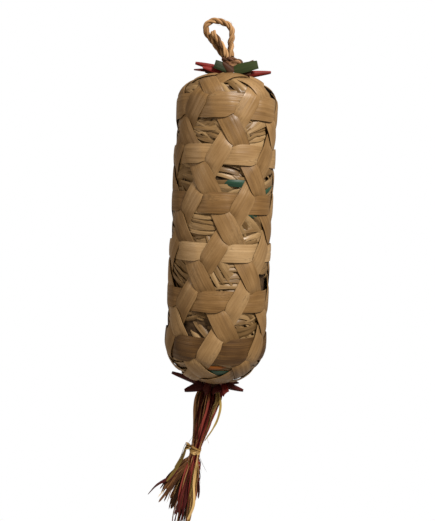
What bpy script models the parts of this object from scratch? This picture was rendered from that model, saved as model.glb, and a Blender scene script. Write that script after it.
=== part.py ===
"""A hanging rainstick: a plugged cane tube with pegs and seeds, packed in shredded palm leaf,
inside an open six-way weave of palm-leaf strips, with a rope loop above and a raffia tassel below.

Everything is laid out in the stick's own coordinates, in metres: the stick's axis is Z, and the
upper pole of the weave's middle surface is z = 0. The empty "stick_frame" carries all of it, so
that the world's origin is the point where a hook holds the rope loop.
"""

import math

import bmesh
import bpy
import numpy as np
from mathutils import Euler, Matrix, Vector

MM = 0.001

# The weave's middle surface: a straight cylinder between two domes of unlike height.
WEAVE_RADIUS = 36.0 * MM
WEAVE_LENGTH = 224.0 * MM
TOP_DOME = 22.0 * MM
BOTTOM_DOME = 30.0 * MM

# Level bands, and slanting strips that cross them. A strip climbs one band's pitch in half a cell.
CELLS_AROUND = 6
BANDS = 6
FIRST_BAND_Z = -27.0 * MM
BAND_PITCH = 33.5 * MM
WEAVE_TURN = math.radians(-82.0)
STRIP_WIDTH = 9.4 * MM
STRIP_THICKNESS = 0.6 * MM
STRIP_LIFT = 0.65 * MM
ZONE_MARGIN = 0.25 * MM
END_GAP = 0.4 * MM

# The cane tube inside, its plugs, pegs and seeds.
GAP = 0.4 * MM
TUBE_OUTER = 19.5 * MM
TUBE_INNER = 17.0 * MM
TUBE_TOP = -26.0 * MM
TUBE_BOTTOM = -202.0 * MM
PLUG_FLANGE = 1.7 * MM
PLUG_DEPTH = 8.0 * MM
PEGS = 12
PEG_STEP = 11.0 * MM
PEG_TURN = math.radians(137.5)
PEG_REACH = 8.4 * MM
SEED_RADIUS = 2.6 * MM
SEED_SPACING = 4.4 * MM

# Rope: the loop, the knot that it swings on, and the two short cords that hold the ends.
ROPE_RADIUS = 2.3 * MM
KNOT_RADIUS = 4.6 * MM
KNOT_CENTRE = Vector((0.0, 0.0, 7.0 * MM))
CORD_CLEARANCE = 0.5 * MM
HOOK_POINT = Vector((-11.0 * MM, 0.0, 35.9 * MM))

# Rosettes of folded leaf points, two layers above the weave and two below it.
STAR_THICKNESS = 0.8 * MM
STAR_HUB = 9.0 * MM
TOP_STARS = (0.6 * MM, 2.5 * MM)
BOTTOM_STARS = (-224.2 * MM, -225.9 * MM)

# The tassel hangs from a second knot, and a raffia tie draws it in part way down.
TASSEL_PIVOT = Vector((-2.4 * MM, 0.0, -232.8 * MM))
TIE_CENTRE = Vector((-10.7 * MM, 0.0, -274.3 * MM))
TIE_INNER = 3.9 * MM
TIE_OUTER = 4.7 * MM
TIE_HEIGHT = 4.0 * MM


def clear_scene():
    for obj in list(bpy.data.objects):
        bpy.data.objects.remove(obj, do_unlink=True)


def new_collection(name):
    collection = bpy.data.collections.new(name)
    bpy.context.scene.collection.children.link(collection)
    return collection


def material(name, colour, roughness=0.7):
    made = bpy.data.materials.new(name)
    made.use_nodes = True
    shader = made.node_tree.nodes["Principled BSDF"]
    shader.inputs["Base Color"].default_value = (*colour, 1.0)
    shader.inputs["Roughness"].default_value = roughness
    shader.inputs["Metallic"].default_value = 0.0
    return made


def add_empty(name, parent, place):
    empty = bpy.data.objects.new(name, None)
    rainstick.objects.link(empty)
    empty.parent = parent
    empty.location = place
    return empty


def hold(obj, joint=None):
    """Puts an object, drawn in the stick's coordinates, under the stick or one of its joints."""
    obj.parent = joint or stick_frame
    if joint:
        obj.matrix_parent_inverse = Matrix.Translation(-joint.location)


def add_object(name, data, surface, joint=None):
    obj = bpy.data.objects.new(name, data)
    obj.data.materials.append(surface)
    rainstick.objects.link(obj)
    hold(obj, joint)
    return obj


def mesh_from(name, bm):
    mesh = bpy.data.meshes.new(name)
    bm.to_mesh(mesh)
    bm.free()
    return mesh


def solidify(obj, thickness):
    wall = obj.modifiers.new("wall", "SOLIDIFY")
    wall.thickness = thickness
    wall.offset = 0.0


def lathe(name, profile, surface, steps=24, closed=False, joint=None):
    """A turned piece. The profile is (radius, height) pairs, down its outer side."""
    bm = bmesh.new()
    verts = [bm.verts.new((r, 0.0, z)) for r, z in profile]
    for a, b in zip(verts, verts[1:]):
        bm.edges.new((a, b))
    if closed:
        bm.edges.new((verts[-1], verts[0]))
    obj = add_object(name, mesh_from(name, bm), surface, joint)
    turn = obj.modifiers.new("turn", "SCREW")
    turn.angle = math.tau
    turn.steps = turn.render_steps = steps
    turn.use_merge_vertices = True
    turn.merge_threshold = 0.00002
    return obj


def smooth_route(points, count):
    """Evenly spread points on a Catmull-Rom curve through the given (x, y, z, radius) points."""
    nodes = np.array(points, float)
    ends = [2 * nodes[0] - nodes[1], *nodes, 2 * nodes[-1] - nodes[-2]]
    fine = []
    for a, b, c, d in zip(ends, ends[1:], ends[2:], ends[3:]):
        for t in np.linspace(0.0, 1.0, 24, endpoint=False):
            fine.append(
                0.5 * (2 * b + (c - a) * t + (2 * a - 5 * b + 4 * c - d) * t**2
                       + (3 * b - a - 3 * c + d) * t**3)
            )
    fine = np.array([*fine, nodes[-1]])
    steps = np.linalg.norm(np.diff(fine[:, :3], axis=0), axis=1)
    along = np.concatenate([[0], np.cumsum(steps)])
    at = np.linspace(0, along[-1], count)
    return np.stack([np.interp(at, along, fine[:, k]) for k in range(4)], axis=1)


def rod(name, route, surface, joint=None):
    """A round rod along a route of (x, y, z, radius) points."""
    curve = bpy.data.curves.new(name, "CURVE")
    curve.dimensions = "3D"
    curve.bevel_depth = 1.0
    curve.bevel_resolution = 2
    curve.use_fill_caps = True
    spline = curve.splines.new("POLY")
    spline.points.add(len(route) - 1)
    for point, (x, y, z, radius) in zip(spline.points, route):
        point.co = (x, y, z, 1.0)
        point.radius = radius
    return add_object(name, curve, surface, joint)


def made_mesh(obj, joint=None):
    """The object again as a closed mesh, so that a Boolean can take it."""
    bpy.context.view_layer.update()
    graph = bpy.context.evaluated_depsgraph_get()
    mesh = bpy.data.meshes.new_from_object(obj.evaluated_get(graph))
    bm = bmesh.new()
    bm.from_mesh(mesh)
    bmesh.ops.remove_doubles(bm, verts=bm.verts, dist=0.000005)
    bm.to_mesh(mesh)
    bm.free()
    name, place = obj.name, obj.matrix_basis.copy()
    bpy.data.objects.remove(obj, do_unlink=True)
    made = bpy.data.objects.new(name, mesh)
    rainstick.objects.link(made)
    hold(made, joint)
    made.matrix_basis = place
    return made


def as_helper(obj):
    """Moves a cutter, or a shape that was joined into another, out of the parts."""
    for collection in list(obj.users_collection):
        collection.objects.unlink(obj)
    cutters.objects.link(obj)
    obj.hide_render = True
    obj.display_type = "WIRE"


def boolean(obj, other, operation):
    step = obj.modifiers.new(operation.lower(), "BOOLEAN")
    step.operation = operation
    step.object = other
    as_helper(other)


# ---------------------------------------------------------------- the weave's surface and paths


class WeaveSurface:
    """The middle surface, by distance s down the meridian from the upper pole."""

    def __init__(self, samples=1200):
        top = np.linspace(0, math.pi / 2, samples)
        bottom = np.linspace(math.pi / 2, math.pi, samples)
        straight = WEAVE_LENGTH - TOP_DOME - BOTTOM_DOME
        self.r = WEAVE_RADIUS * np.concatenate([np.sin(top), np.sin(bottom)])
        self.z = np.concatenate([
            TOP_DOME * (np.cos(top) - 1),
            -TOP_DOME - straight + BOTTOM_DOME * np.cos(bottom),
        ])
        step = np.hypot(np.diff(self.r), np.diff(self.z))
        self.s = np.concatenate([[0], np.cumsum(step)])

    def radius(self, s):
        return np.interp(s, self.s, self.r)

    def height(self, s):
        return np.interp(s, self.s, self.z)

    def s_at_height(self, z):
        return float(np.interp(-z, -self.z, self.s))

    def s_at_radius(self, radius, bottom):
        half = len(self.s) // 2
        if bottom:
            return float(np.interp(-radius, -self.r[half:], self.s[half:]))
        return float(np.interp(radius, self.r[:half], self.s[:half]))

    def point(self, s, angle, lift):
        """The place at s down the meridian and angle round the axis, raised along the normal."""
        reach = 0.05 * MM
        dr = (self.radius(s + reach) - self.radius(s - reach)) / (2 * reach)
        dz = (self.height(s + reach) - self.height(s - reach)) / (2 * reach)
        r = self.radius(s) - dz * lift
        return Vector((r * math.cos(angle), r * math.sin(angle), self.height(s) + dr * lift))


class StripPath:
    """The line of one slanting strip, from where it turns over the upper dome to where it turns
    under the lower one. angle, s, steep and along are tables down that line: the angle gone round
    the axis, the distance down the meridian, the slope against a level line, and the length.

    On the cylinder the slope is constant. On a dome the strip levels out towards its turning
    radius, which is chosen so that every strip meets the last band at the same place in its cell.
    """

    def __init__(self, surface):
        self.surface = surface
        self.level_cos = math.cos(math.atan2(BAND_PITCH, WEAVE_RADIUS * HALF_CELL))
        self.band_s = [surface.s_at_height(FIRST_BAND_Z - k * BAND_PITCH) for k in range(BANDS)]
        self.turn = [
            self.solve_turn(lambda r: self.sweep(r, False, self.band_s[0])),
            self.solve_turn(lambda r: self.sweep(r, True, self.band_s[-1])),
        ]
        start = surface.s_at_radius(self.turn[0], False)
        end = surface.s_at_radius(self.turn[1], True)
        self.tables(start, end)

    def slope(self, s, turn_radius):
        share = np.clip(turn_radius / self.surface.radius(s), 0, 1)
        power = math.log(self.level_cos) / math.log(turn_radius / WEAVE_RADIUS)
        return np.arccos(np.clip(share**power, 0, 1 - 1e-12))

    def sweep(self, turn_radius, bottom, band_s):
        """The angle that a strip goes round between its turning point and the last band."""
        start = self.surface.s_at_radius(turn_radius, bottom)
        t = (np.arange(4000) + 0.5) / 4000
        s = start + (band_s - start) * t**2
        ds = abs(band_s - start) * 2 * t / 4000
        steep = self.slope(s, turn_radius)
        return float(np.sum(ds / (np.tan(steep) * self.surface.radius(s))))

    @staticmethod
    def solve_turn(sweep_of):
        """The turning radius whose sweep is the wanted one, by halving the interval."""
        low, high = 0.30 * WEAVE_RADIUS, 0.80 * WEAVE_RADIUS
        for _ in range(40):
            middle = (low + high) / 2
            if sweep_of(middle) > LAST_BAND_SWEEP:
                low = middle
            else:
                high = middle
        return middle

    def tables(self, start, end, samples=6000):
        t = (np.arange(samples) + 0.5) / samples * math.pi
        s = start + (end - start) * (1 - np.cos(t)) / 2
        ds = (end - start) / 2 * np.sin(t) * math.pi / samples
        upper = s < (start + end) / 2
        steep = np.where(upper, self.slope(s, self.turn[0]), self.slope(s, self.turn[1]))
        self.s, self.steep = s, steep
        self.along = np.cumsum(ds / np.sin(steep))
        self.angle = np.cumsum(ds / (np.tan(steep) * self.surface.radius(s)))

    def at_angle(self, angle):
        """(length along, slope) at an angle past the upper turning point."""
        return (
            float(np.interp(angle, self.angle, self.along)),
            float(np.interp(angle, self.angle, self.steep)),
        )

    def place(self, along, across, lift):
        """The place on the strip. across is measured down and back from the line."""
        s = np.interp(along, self.along, self.s)
        steep = np.interp(along, self.along, self.steep)
        angle = np.interp(along, self.along, self.angle)
        beside = s + across * math.cos(steep)
        round_it = angle - across * math.sin(steep) / self.surface.radius((s + beside) / 2)
        return self.surface.point(beside, round_it, lift)


HALF_CELL = math.pi / CELLS_AROUND
LAST_BAND_SWEEP = 2.5 * HALF_CELL


def falling_crossings():
    """What a falling strip meets: (half cells past its upper turning point, over or under, is it
    a band). It passes over the rising strips and under the bands, and both ends are tucked under.
    """
    found = [(1, -1, False), (2, 1, False)]
    for k in range(BANDS):
        found.append((2.5 + k, -1, True))
        found.append((3 + k, 1, False))
    return [*found, (BANDS + 3, -1, False)]


def grid_band(name, columns, across, place, surface, closed=False):
    """A strip made from a grid: columns is a list of functions of across, each giving how far
    along that column lies, with its lift. place turns along, across and lift into a point."""
    bm = bmesh.new()
    bmesh.ops.create_grid(bm, x_segments=len(columns) - 1, y_segments=len(across) - 1, size=0.5)
    bm.verts.ensure_lookup_table()
    for vert in bm.verts:
        i = round((vert.co.x + 0.5) * (len(columns) - 1))
        j = round((vert.co.y + 0.5) * (len(across) - 1))
        line, lift = columns[i]
        vert.co = place(line(across[j]), across[j], lift)
    if closed:
        bmesh.ops.remove_doubles(bm, verts=bm.verts, dist=0.00001)
    bmesh.ops.recalc_face_normals(bm, faces=bm.faces)
    obj = add_object(name, mesh_from(name, bm), surface)
    solidify(obj, STRIP_THICKNESS)
    return obj


ACROSS = [-STRIP_WIDTH / 2, 0.0, STRIP_WIDTH / 2]
ZONE_HALF = STRIP_WIDTH / 2 + ZONE_MARGIN


def zone_columns(centre, cross_angle, side, steps):
    """The columns over one crossing: slanted lines from one edge of the other strip to the next."""
    shares = np.linspace(-1, 1, steps + 1)
    return [
        lambda v, share=share: centre + (share * ZONE_HALF - v * math.cos(cross_angle))
        / math.sin(cross_angle)
        for share in shares
        if side is None or share * side >= -0.01
    ]


def on_dome(half_cells):
    return half_cells < 3 or half_cells > BANDS + 1.4


def end_gap(columns):
    """Draws the first and last columns in, so that the ends stay clear of what they lie under."""
    first, last = columns[0][0], columns[-1][0]
    columns[0] = (lambda v: first(v) + END_GAP, columns[0][1])
    columns[-1] = (lambda v: last(v) - END_GAP, columns[-1][1])


def falling_strip(name, path, turn, surface):
    """A falling strip runs from under one strip on the upper dome to under one on the lower."""
    crossings = falling_crossings()
    columns = []
    for n, (half_cells, over, is_band) in enumerate(crossings):
        along, steep = path.at_angle(half_cells * HALF_CELL)
        end = {0: 1, len(crossings) - 1: -1}.get(n)
        cross_angle = steep if is_band else 2 * steep
        for line in zone_columns(along, cross_angle, end, 2 if on_dome(half_cells) else 1):
            columns.append((line, over * STRIP_LIFT))
    end_gap(columns)

    def place(along, across, lift):
        return turned(path.place(along, across, lift), turn, False)

    return grid_band(name, columns, ACROSS, place, surface)


def turned(point, turn, mirror):
    """The point turned about the axis, after being mirrored left to right if asked."""
    y = -point.y if mirror else point.y
    c, s = math.cos(turn), math.sin(turn)
    return Vector((c * point.x - s * y, s * point.x + c * y, point.z))


def rising_strip(name, path, turn, surface):
    """A rising strip holds both turns: it starts under a strip at the lower pole, turns there,
    climbs, turns over the upper pole and ends under the next strip. Its own line runs from the
    far side of the lower turn to the far side of the upper one."""
    length = path.along[-1]
    columns = []

    def add_zone(half_cells, over, is_band, fold, end=None):
        along, steep = path.at_angle(half_cells * HALF_CELL)
        cross_angle = steep if is_band else 2 * steep
        lines = zone_columns(along, cross_angle, end, 2 if on_dome(half_cells) else 1)
        if fold == "upper":
            lines = [lambda v, line=line: -line(-v) for line in reversed(lines)]
        elif fold == "lower":
            lines = [lambda v, line=line: 2 * length - line(-v) for line in reversed(lines)]
        columns.extend((line, over * STRIP_LIFT) for line in lines)

    add_zone(1, -1, False, "upper", end=-1)
    columns.append((lambda v: 0.0, 0.0))
    add_zone(1, 1, False, None)
    add_zone(2, -1, False, None)
    for k in range(BANDS):
        add_zone(2.5 + k, 1, True, None)
        add_zone(3 + k, -1, False, None)
    add_zone(BANDS + 3, 1, False, None)
    columns.append((lambda v: length, 0.0))
    add_zone(BANDS + 3, -1, False, "lower", end=1)
    end_gap(columns)

    def place(along, across, lift):
        if along < 0:
            p = path.place(-along, -across, lift)
            p = Vector((p.x, -p.y, p.z))
        elif along > length:
            p = path.place(2 * length - along, -across, lift)
            full = 2 * path.angle[-1]
            c, s = math.cos(full), math.sin(full)
            p = Vector((c * p.x + s * p.y, s * p.x - c * p.y, p.z))
        else:
            p = path.place(along, across, lift)
        return turned(p, turn, True)

    return grid_band(name, columns, ACROSS, place, surface)


def level_band(name, path, k, turn, surface):
    """A closed level band. Rising strips pass over it, and it passes over the falling ones."""
    s = path.band_s[k]
    radius = float(path.surface.radius(s))
    steep = path.at_angle((2.5 + k) * HALF_CELL)[1]
    half = HALF_CELL / 2
    stations = []
    for cell in range(CELLS_AROUND):
        middle = turn + 2 * cell * HALF_CELL
        stations.append((middle - half, -1 if k % 2 else 1))
        stations.append((middle + half, 1 if k % 2 else -1))
    columns = []
    for angle, over in stations:
        lean = math.pi - steep if over > 0 else steep
        for line in zone_columns(angle * radius, lean, None, 2):
            columns.append((line, over * STRIP_LIFT))
    first = columns[0][0]
    columns.append((lambda v: first(v) + math.tau * radius, columns[0][1]))

    def place(along, across, lift):
        return path.surface.point(s + across, along / radius, lift)

    return grid_band(name, columns, ACROSS, place, surface, closed=True)


def build_weave(surface):
    path = StripPath(WeaveSurface())
    for k in range(BANDS):
        level_band(f"level_band_{k + 1}", path, k, WEAVE_TURN, surface["leaf_brown"])
    for n in range(CELLS_AROUND):
        turn = WEAVE_TURN + (2 * n - 1) * HALF_CELL
        falling_strip(f"falling_strip_{n + 1}", path, turn, surface["leaf_tan"])
        rising_strip(f"rising_strip_{n + 1}", path, turn, surface["leaf_tan"])


# ------------------------------------------------------------------------- inside the weave


def dome_profile(inset):
    """(radius, height) pairs down the weave's middle surface moved in by inset."""
    steps = 8
    r = WEAVE_RADIUS - inset
    pairs = []
    for k in range(steps + 1):
        a = math.pi / 2 * k / steps
        pairs.append((r * math.sin(a), (TOP_DOME - inset) * math.cos(a) - TOP_DOME))
    low = -WEAVE_LENGTH + BOTTOM_DOME
    for k in range(steps + 1):
        a = math.pi / 2 * (1 + k / steps)
        pairs.append((r * math.sin(a), (BOTTOM_DOME - inset) * math.cos(a) + low))
    return pairs


def build_stuffing(surface):
    """The packed leaf shreds: one soft body that fills the weave and holds the tube."""
    inset = STRIP_LIFT + STRIP_THICKNESS / 2 + 2 * GAP
    cord_hole = ROPE_RADIUS + 2 * CORD_CLEARANCE
    inner = TUBE_OUTER + GAP
    outside = dome_profile(inset)
    outside[0] = (cord_hole, outside[0][1])
    outside[-1] = (cord_hole, outside[-1][1])
    top = TUBE_TOP + PLUG_FLANGE + 2 * GAP
    bottom = TUBE_BOTTOM - PLUG_FLANGE - 2 * GAP
    inside = [(cord_hole, bottom), (inner, bottom), (inner, top), (cord_hole, top)]
    lathe("leaf_stuffing", outside + inside, surface["leaf_pale"], steps=28, closed=True)


def build_tube(surface):
    """The cane tube, with a drilled hole for each peg."""
    profile = [
        (TUBE_OUTER, TUBE_TOP), (TUBE_OUTER, TUBE_BOTTOM),
        (TUBE_INNER, TUBE_BOTTOM), (TUBE_INNER, TUBE_TOP),
    ]
    cane = made_mesh(lathe("sound_tube", profile, surface["cane"], steps=24, closed=True))
    for k in range(PEGS):
        bpy.ops.mesh.primitive_cylinder_add(vertices=8, radius=1.2 * MM, depth=8 * MM)
        cutter = bpy.context.object
        cutter.name = f"peg_hole_{k + 1}"
        cutter.parent = stick_frame
        angle = k * PEG_TURN
        middle = (TUBE_OUTER + TUBE_INNER) / 2
        cutter.location = (middle * math.cos(angle), middle * math.sin(angle), peg_height(k))
        cutter.rotation_euler = Euler((0.0, math.pi / 2, angle))
        boolean(cane, cutter, "DIFFERENCE")


def peg_height(k):
    highest = (TUBE_TOP + TUBE_BOTTOM) / 2 + PEG_STEP * (PEGS - 1) / 2
    return highest - k * PEG_STEP


def build_pegs(surface):
    """Tapered thorns pushed in through the wall, in a spiral down the tube."""
    length = TUBE_OUTER - PEG_REACH - 0.1 * MM
    bm = bmesh.new()
    bmesh.ops.create_cone(bm, cap_ends=True, segments=8, radius1=0.8 * MM, radius2=0.45 * MM,
                          depth=length)
    mesh = mesh_from("peg", bm)
    mesh.materials.append(surface["thorn"])
    for k in range(PEGS):
        peg = bpy.data.objects.new(f"peg_{k + 1:02d}", mesh)
        rainstick.objects.link(peg)
        peg.parent = stick_frame
        angle = k * PEG_TURN
        middle = PEG_REACH + length / 2
        peg.location = (middle * math.cos(angle), middle * math.sin(angle), peg_height(k))
        peg.rotation_euler = Euler((0.0, -math.pi / 2, angle))


def build_plugs(surface):
    """Flanged wooden plugs. Each has a middle hole that its cord passes through."""
    stem = TUBE_INNER - 0.3 * MM
    rim = TUBE_OUTER
    hole = ROPE_RADIUS + CORD_CLEARANCE
    for name, end, into in (("top_plug", TUBE_TOP, -1), ("bottom_plug", TUBE_BOTTOM, 1)):
        face = end - into * (GAP - 0.1 * MM)
        profile = [
            (hole, face - into * PLUG_FLANGE), (rim, face - into * PLUG_FLANGE), (rim, face),
            (stem, face), (stem, end + into * PLUG_DEPTH), (hole, end + into * PLUG_DEPTH),
        ]
        if into > 0:
            profile.reverse()
        lathe(name, profile, surface["plug_wood"], closed=True)


def stopper_profile(start, into, far):
    """A cord from far to start, ending in a round stopper knot on the other side of start."""
    bulb = 4.3 * MM
    pairs = [(0.0, far), (ROPE_RADIUS, far), (ROPE_RADIUS, start)]
    for k in range(7):
        a = math.pi * (0.18 + 0.82 * k / 6)
        pairs.append((bulb * math.sin(a), start - into * bulb * (math.cos(a) - 0.85)))
    pairs[-1] = (0.0, pairs[-1][1])
    return pairs


def build_cords(surface):
    """The cord stub that holds each end: through the plug, with a stopper knot in the tube."""
    top_start = TUBE_TOP - PLUG_DEPTH - GAP
    top_end = KNOT_CENTRE.z - KNOT_RADIUS - GAP
    lathe("top_cord", stopper_profile(top_start, -1, top_end), surface["rope"], steps=12,
          joint=knot_joint)
    bottom_start = TUBE_BOTTOM + PLUG_DEPTH + GAP
    bottom_end = TASSEL_PIVOT.z + KNOT_RADIUS + GAP
    profile = stopper_profile(bottom_start, 1, bottom_end)
    profile.reverse()
    lathe("bottom_cord", profile, surface["rope"], steps=12)


def build_seeds(surface):
    """The charge of seeds, lying on the lower stopper knot, as one heap."""
    floor = TUBE_BOTTOM + PLUG_DEPTH + GAP + 8.6 * MM
    places = [(0.0, 0.0, 0.0)]
    places += [
        (SEED_SPACING * math.cos(a), SEED_SPACING * math.sin(a), 0.0)
        for a in (math.tau * k / 6 for k in range(6))
    ]
    upper = SEED_SPACING * 0.6
    places += [
        (upper * math.cos(a), upper * math.sin(a), 3.4 * MM)
        for a in (math.tau * (k + 0.25) / 3 for k in range(3))
    ]
    places.append((0.0, 0.0, 6.8 * MM))
    heap = None
    for n, (x, y, z) in enumerate(places):
        bm = bmesh.new()
        bmesh.ops.create_icosphere(bm, subdivisions=1, radius=SEED_RADIUS)
        bmesh.ops.rotate(bm, verts=bm.verts, matrix=Euler((n, 2 * n, 0)).to_matrix())
        name = "seed_charge" if heap is None else f"seed_{n}"
        seed = add_object(name, mesh_from(name, bm), surface["seed"])
        seed.location = (x, y, floor + SEED_RADIUS + z)
        if heap is None:
            heap = seed
        else:
            boolean(heap, seed, "UNION")


# --------------------------------------------------------------------- rosettes of dyed leaf


def star(name, height, into, petals, surface):
    """A star of folded leaf points round a middle hole. Each point is (degrees round, reach,
    lift at its tip), and has a crease down its middle. into is 1 above the weave, -1 below."""
    hole = ROPE_RADIUS + CORD_CLEARANCE + 0.2 * MM
    low = height - STAR_THICKNESS / 2
    base, tip, crease = 8.0 * MM, 1.4 * MM, 0.5 * MM
    shares = (0.0, 0.3, 0.65, 1.0)
    columns = 4 * len(petals)
    after = [*petals[1:], (petals[0][0] + 360.0, *petals[0][1:])]
    bm = bmesh.new()
    bmesh.ops.create_grid(bm, x_segments=columns, y_segments=len(shares) - 1, size=0.5)
    for vert in bm.verts:
        i = round((vert.co.x + 0.5) * columns) % columns
        share = shares[round((vert.co.y + 0.5) * (len(shares) - 1))]
        turn, reach, lift = petals[i // 4]
        angle = math.radians(turn)
        r, z = hole + (reach - hole) * share, lift * share**2
        side = (-1, 0, 1, None)[i % 4]
        if side is None:
            angle = math.radians((turn + after[i // 4][0]) / 2)
            r, z = hole + (STAR_HUB - hole) * share, 0.0
        elif side:
            wide = base * (1 - share) + tip * share
            angle += side * min(math.atan2(wide, r), 0.6)
        else:
            z += crease * share**2
        vert.co = (r * math.cos(angle), r * math.sin(angle), low + into * z)
    bmesh.ops.remove_doubles(bm, verts=bm.verts, dist=0.00001)
    raised = bmesh.ops.extrude_face_region(bm, geom=bm.faces[:])["geom"]
    upper = [element for element in raised if isinstance(element, bmesh.types.BMVert)]
    bmesh.ops.translate(bm, verts=upper, vec=(0.0, 0.0, STAR_THICKNESS))
    bmesh.ops.recalc_face_normals(bm, faces=bm.faces)
    add_object(name, mesh_from(name, bm), surface)


def build_rosettes(surface):
    star("top_red_star", TOP_STARS[0], 1,
         [(2, 29.5 * MM, 2.4 * MM), (88, 25.0 * MM, 2.8 * MM),
          (184, 26.0 * MM, 4.4 * MM), (272, 23.0 * MM, 2.4 * MM)], surface["leaf_red"])
    star("top_green_star", TOP_STARS[1], 1,
         [(42, 22.0 * MM, 4.6 * MM), (135, 23.0 * MM, 3.4 * MM),
          (222, 21.0 * MM, 3.6 * MM), (322, 24.0 * MM, 4.6 * MM)], surface["leaf_green"])
    star("bottom_dark_star", BOTTOM_STARS[0], -1,
         [(-12, 24.0 * MM, 1.6 * MM), (80, 26.0 * MM, -1.0 * MM),
          (176, 31.0 * MM, -4.6 * MM), (262, 24.0 * MM, 0.2 * MM)], surface["leaf_maroon"])
    star("bottom_red_star", BOTTOM_STARS[1], -1,
         [(40, 23.0 * MM, 0.6 * MM), (128, 24.0 * MM, 0.2 * MM),
          (218, 26.0 * MM, 1.0 * MM), (294, 24.0 * MM, 1.4 * MM)], surface["leaf_red"])


# ----------------------------------------------------------------------- rope loop and knots


LOOP_ROUTE = (
    (1.6, 1.3, 12.6), (0.6, 1.1, 17.4), (0.5, 0.4, 23.4), (1.0, 0.0, 27.0), (1.0, 0.0, 30.2),
    (0.2, 0.0, 33.4), (-1.9, 0.0, 36.0), (-5.0, 0.0, 37.4), (-8.6, 0.0, 38.4), (-12.3, 0.0, 38.6),
    (-15.6, 0.0, 37.6), (-17.8, 0.0, 35.4), (-18.3, 0.0, 32.3), (-16.8, 0.1, 28.4),
    (-13.7, 0.4, 24.9), (-10.8, 0.8, 21.4), (-7.7, 1.1, 17.7), (-3.4, 1.3, 12.8),
)
TAIL_ROUTE = (
    (-0.9, -3.5, 12.6), (-4.0, -3.6, 17.2), (-6.6, -3.4, 21.1), (-9.3, -3.3, 24.7),
    (-11.8, -3.2, 27.8), (-13.3, -3.2, 30.4),
)


def build_rope(surface):
    """The hanging loop, whose two ends and cut tail run into the knot."""
    for name, route, radius, count in (
        ("hanging_loop", LOOP_ROUTE, ROPE_RADIUS, 30),
        ("loop_tail", TAIL_ROUTE, ROPE_RADIUS - 0.2 * MM, 8),
    ):
        points = [(x * MM, y * MM, z * MM, radius) for x, y, z in route]
        rod(name, smooth_route(points, count), surface["rope"])
    knot("top_knot", KNOT_CENTRE, knot_joint, surface["rope"])


def knot(name, centre, joint, surface):
    bm = bmesh.new()
    bmesh.ops.create_uvsphere(bm, u_segments=12, v_segments=8, radius=KNOT_RADIUS)
    mesh = mesh_from(name, bm)
    mesh.shade_smooth()
    tied = add_object(name, mesh, surface, joint)
    tied.location = centre


# ----------------------------------------------------------------------------- raffia tassel


# Each bundle: its name, its place round the tassel in degrees, its tip in mm, and its material.
BUNDLES = (
    ("raffia_maroon_front", 250, (-20.5, -4.5, -331.0), "raffia_maroon"),
    ("raffia_tan_right", 310, (-13.5, -3.0, -334.0), "raffia_tan"),
    ("raffia_maroon_right", 10, (-9.0, 2.5, -313.0), "raffia_maroon"),
    ("raffia_maroon_back", 70, (-17.5, 6.0, -330.0), "raffia_maroon"),
    ("raffia_brown_back", 130, (-26.5, 5.0, -322.0), "raffia_brown"),
    ("raffia_brown_left", 190, (-33.5, -1.5, -312.0), "raffia_brown"),
)
LOOSE_ROUTE = (
    (4.9, -4.4, -233.4), (6.0, -4.8, -240.5), (4.6, -4.8, -249.0), (1.3, -4.4, -257.0),
    (-4.4, -4.0, -266.5),
)
TAIL_OF_TIE = (
    (-15.7, -0.6, -274.2, 1.2), (-16.6, -1.0, -270.8, 1.3), (-18.4, -1.4, -273.6, 1.3),
    (-20.8, -1.8, -281.2, 1.4), (-29.4, -2.4, -295.4, 1.4), (-36.0, -2.4, -300.6, 1.0),
    (-43.6, -2.4, -307.6, 0.8),
)


def bundle_route(degrees, tip):
    """A raffia bundle's line: from beside the knot, in under the tie, and out to its tip."""
    turn = math.radians(degrees)
    out = Vector((math.cos(turn), math.sin(turn), 0.0))
    knot_to_tie = TIE_CENTRE - TASSEL_PIVOT
    stations = (
        (TASSEL_PIVOT + Vector((0.0, 0.0, 1.5 * MM)), 7.0, 1.9),
        (TASSEL_PIVOT - Vector((0.0, 0.0, 4.5 * MM)), 6.9, 1.9),
        (TASSEL_PIVOT + knot_to_tie * 0.42, 4.6, 1.6),
        (TASSEL_PIVOT + knot_to_tie * 0.94, 2.3, 0.95),
        (TASSEL_PIVOT + knot_to_tie * 1.06, 2.3, 0.95),
        (TIE_CENTRE.lerp(tip, 0.45), 2.2, 1.6),
        (tip, 0.0, 1.9),
    )
    return [(*(place + out * (far * MM)), wide * MM) for place, far, wide in stations]


def build_tassel(surface):
    for name, degrees, tip, finish in BUNDLES:
        route = smooth_route(bundle_route(degrees, Vector(tip) * MM), 14)
        rod(name, route, surface[finish], tassel_joint)
    loose = [(x * MM, y * MM, z * MM, 0.7 * MM) for x, y, z in LOOSE_ROUTE]
    rod("raffia_loose_strand", smooth_route(loose, 9), surface["raffia_olive"], tassel_joint)
    knot("tassel_knot", TASSEL_PIVOT, tassel_joint, surface["raffia_maroon"])
    build_tie(surface)


def build_tie(surface):
    """A raffia wrap round the bundles, with a knot and a long tail on its left side."""
    half = TIE_HEIGHT / 2
    profile = [(TIE_OUTER, half), (TIE_OUTER, -half), (TIE_INNER, -half), (TIE_INNER, half)]
    band = lathe("tassel_tie", profile, surface["raffia_tan"], steps=16, closed=True,
                 joint=tassel_joint)
    along = TASSEL_PIVOT - TIE_CENTRE
    band.location = TIE_CENTRE
    band.rotation_euler = (0.0, math.atan2(along.x, along.z), 0.0)
    band = made_mesh(band, tassel_joint)
    tail = smooth_route([tuple(value * MM for value in row) for row in TAIL_OF_TIE], 14)
    strand = made_mesh(rod("tie_tail", tail, surface["raffia_tan"], tassel_joint), tassel_joint)
    boolean(band, strand, "UNION")


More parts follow.
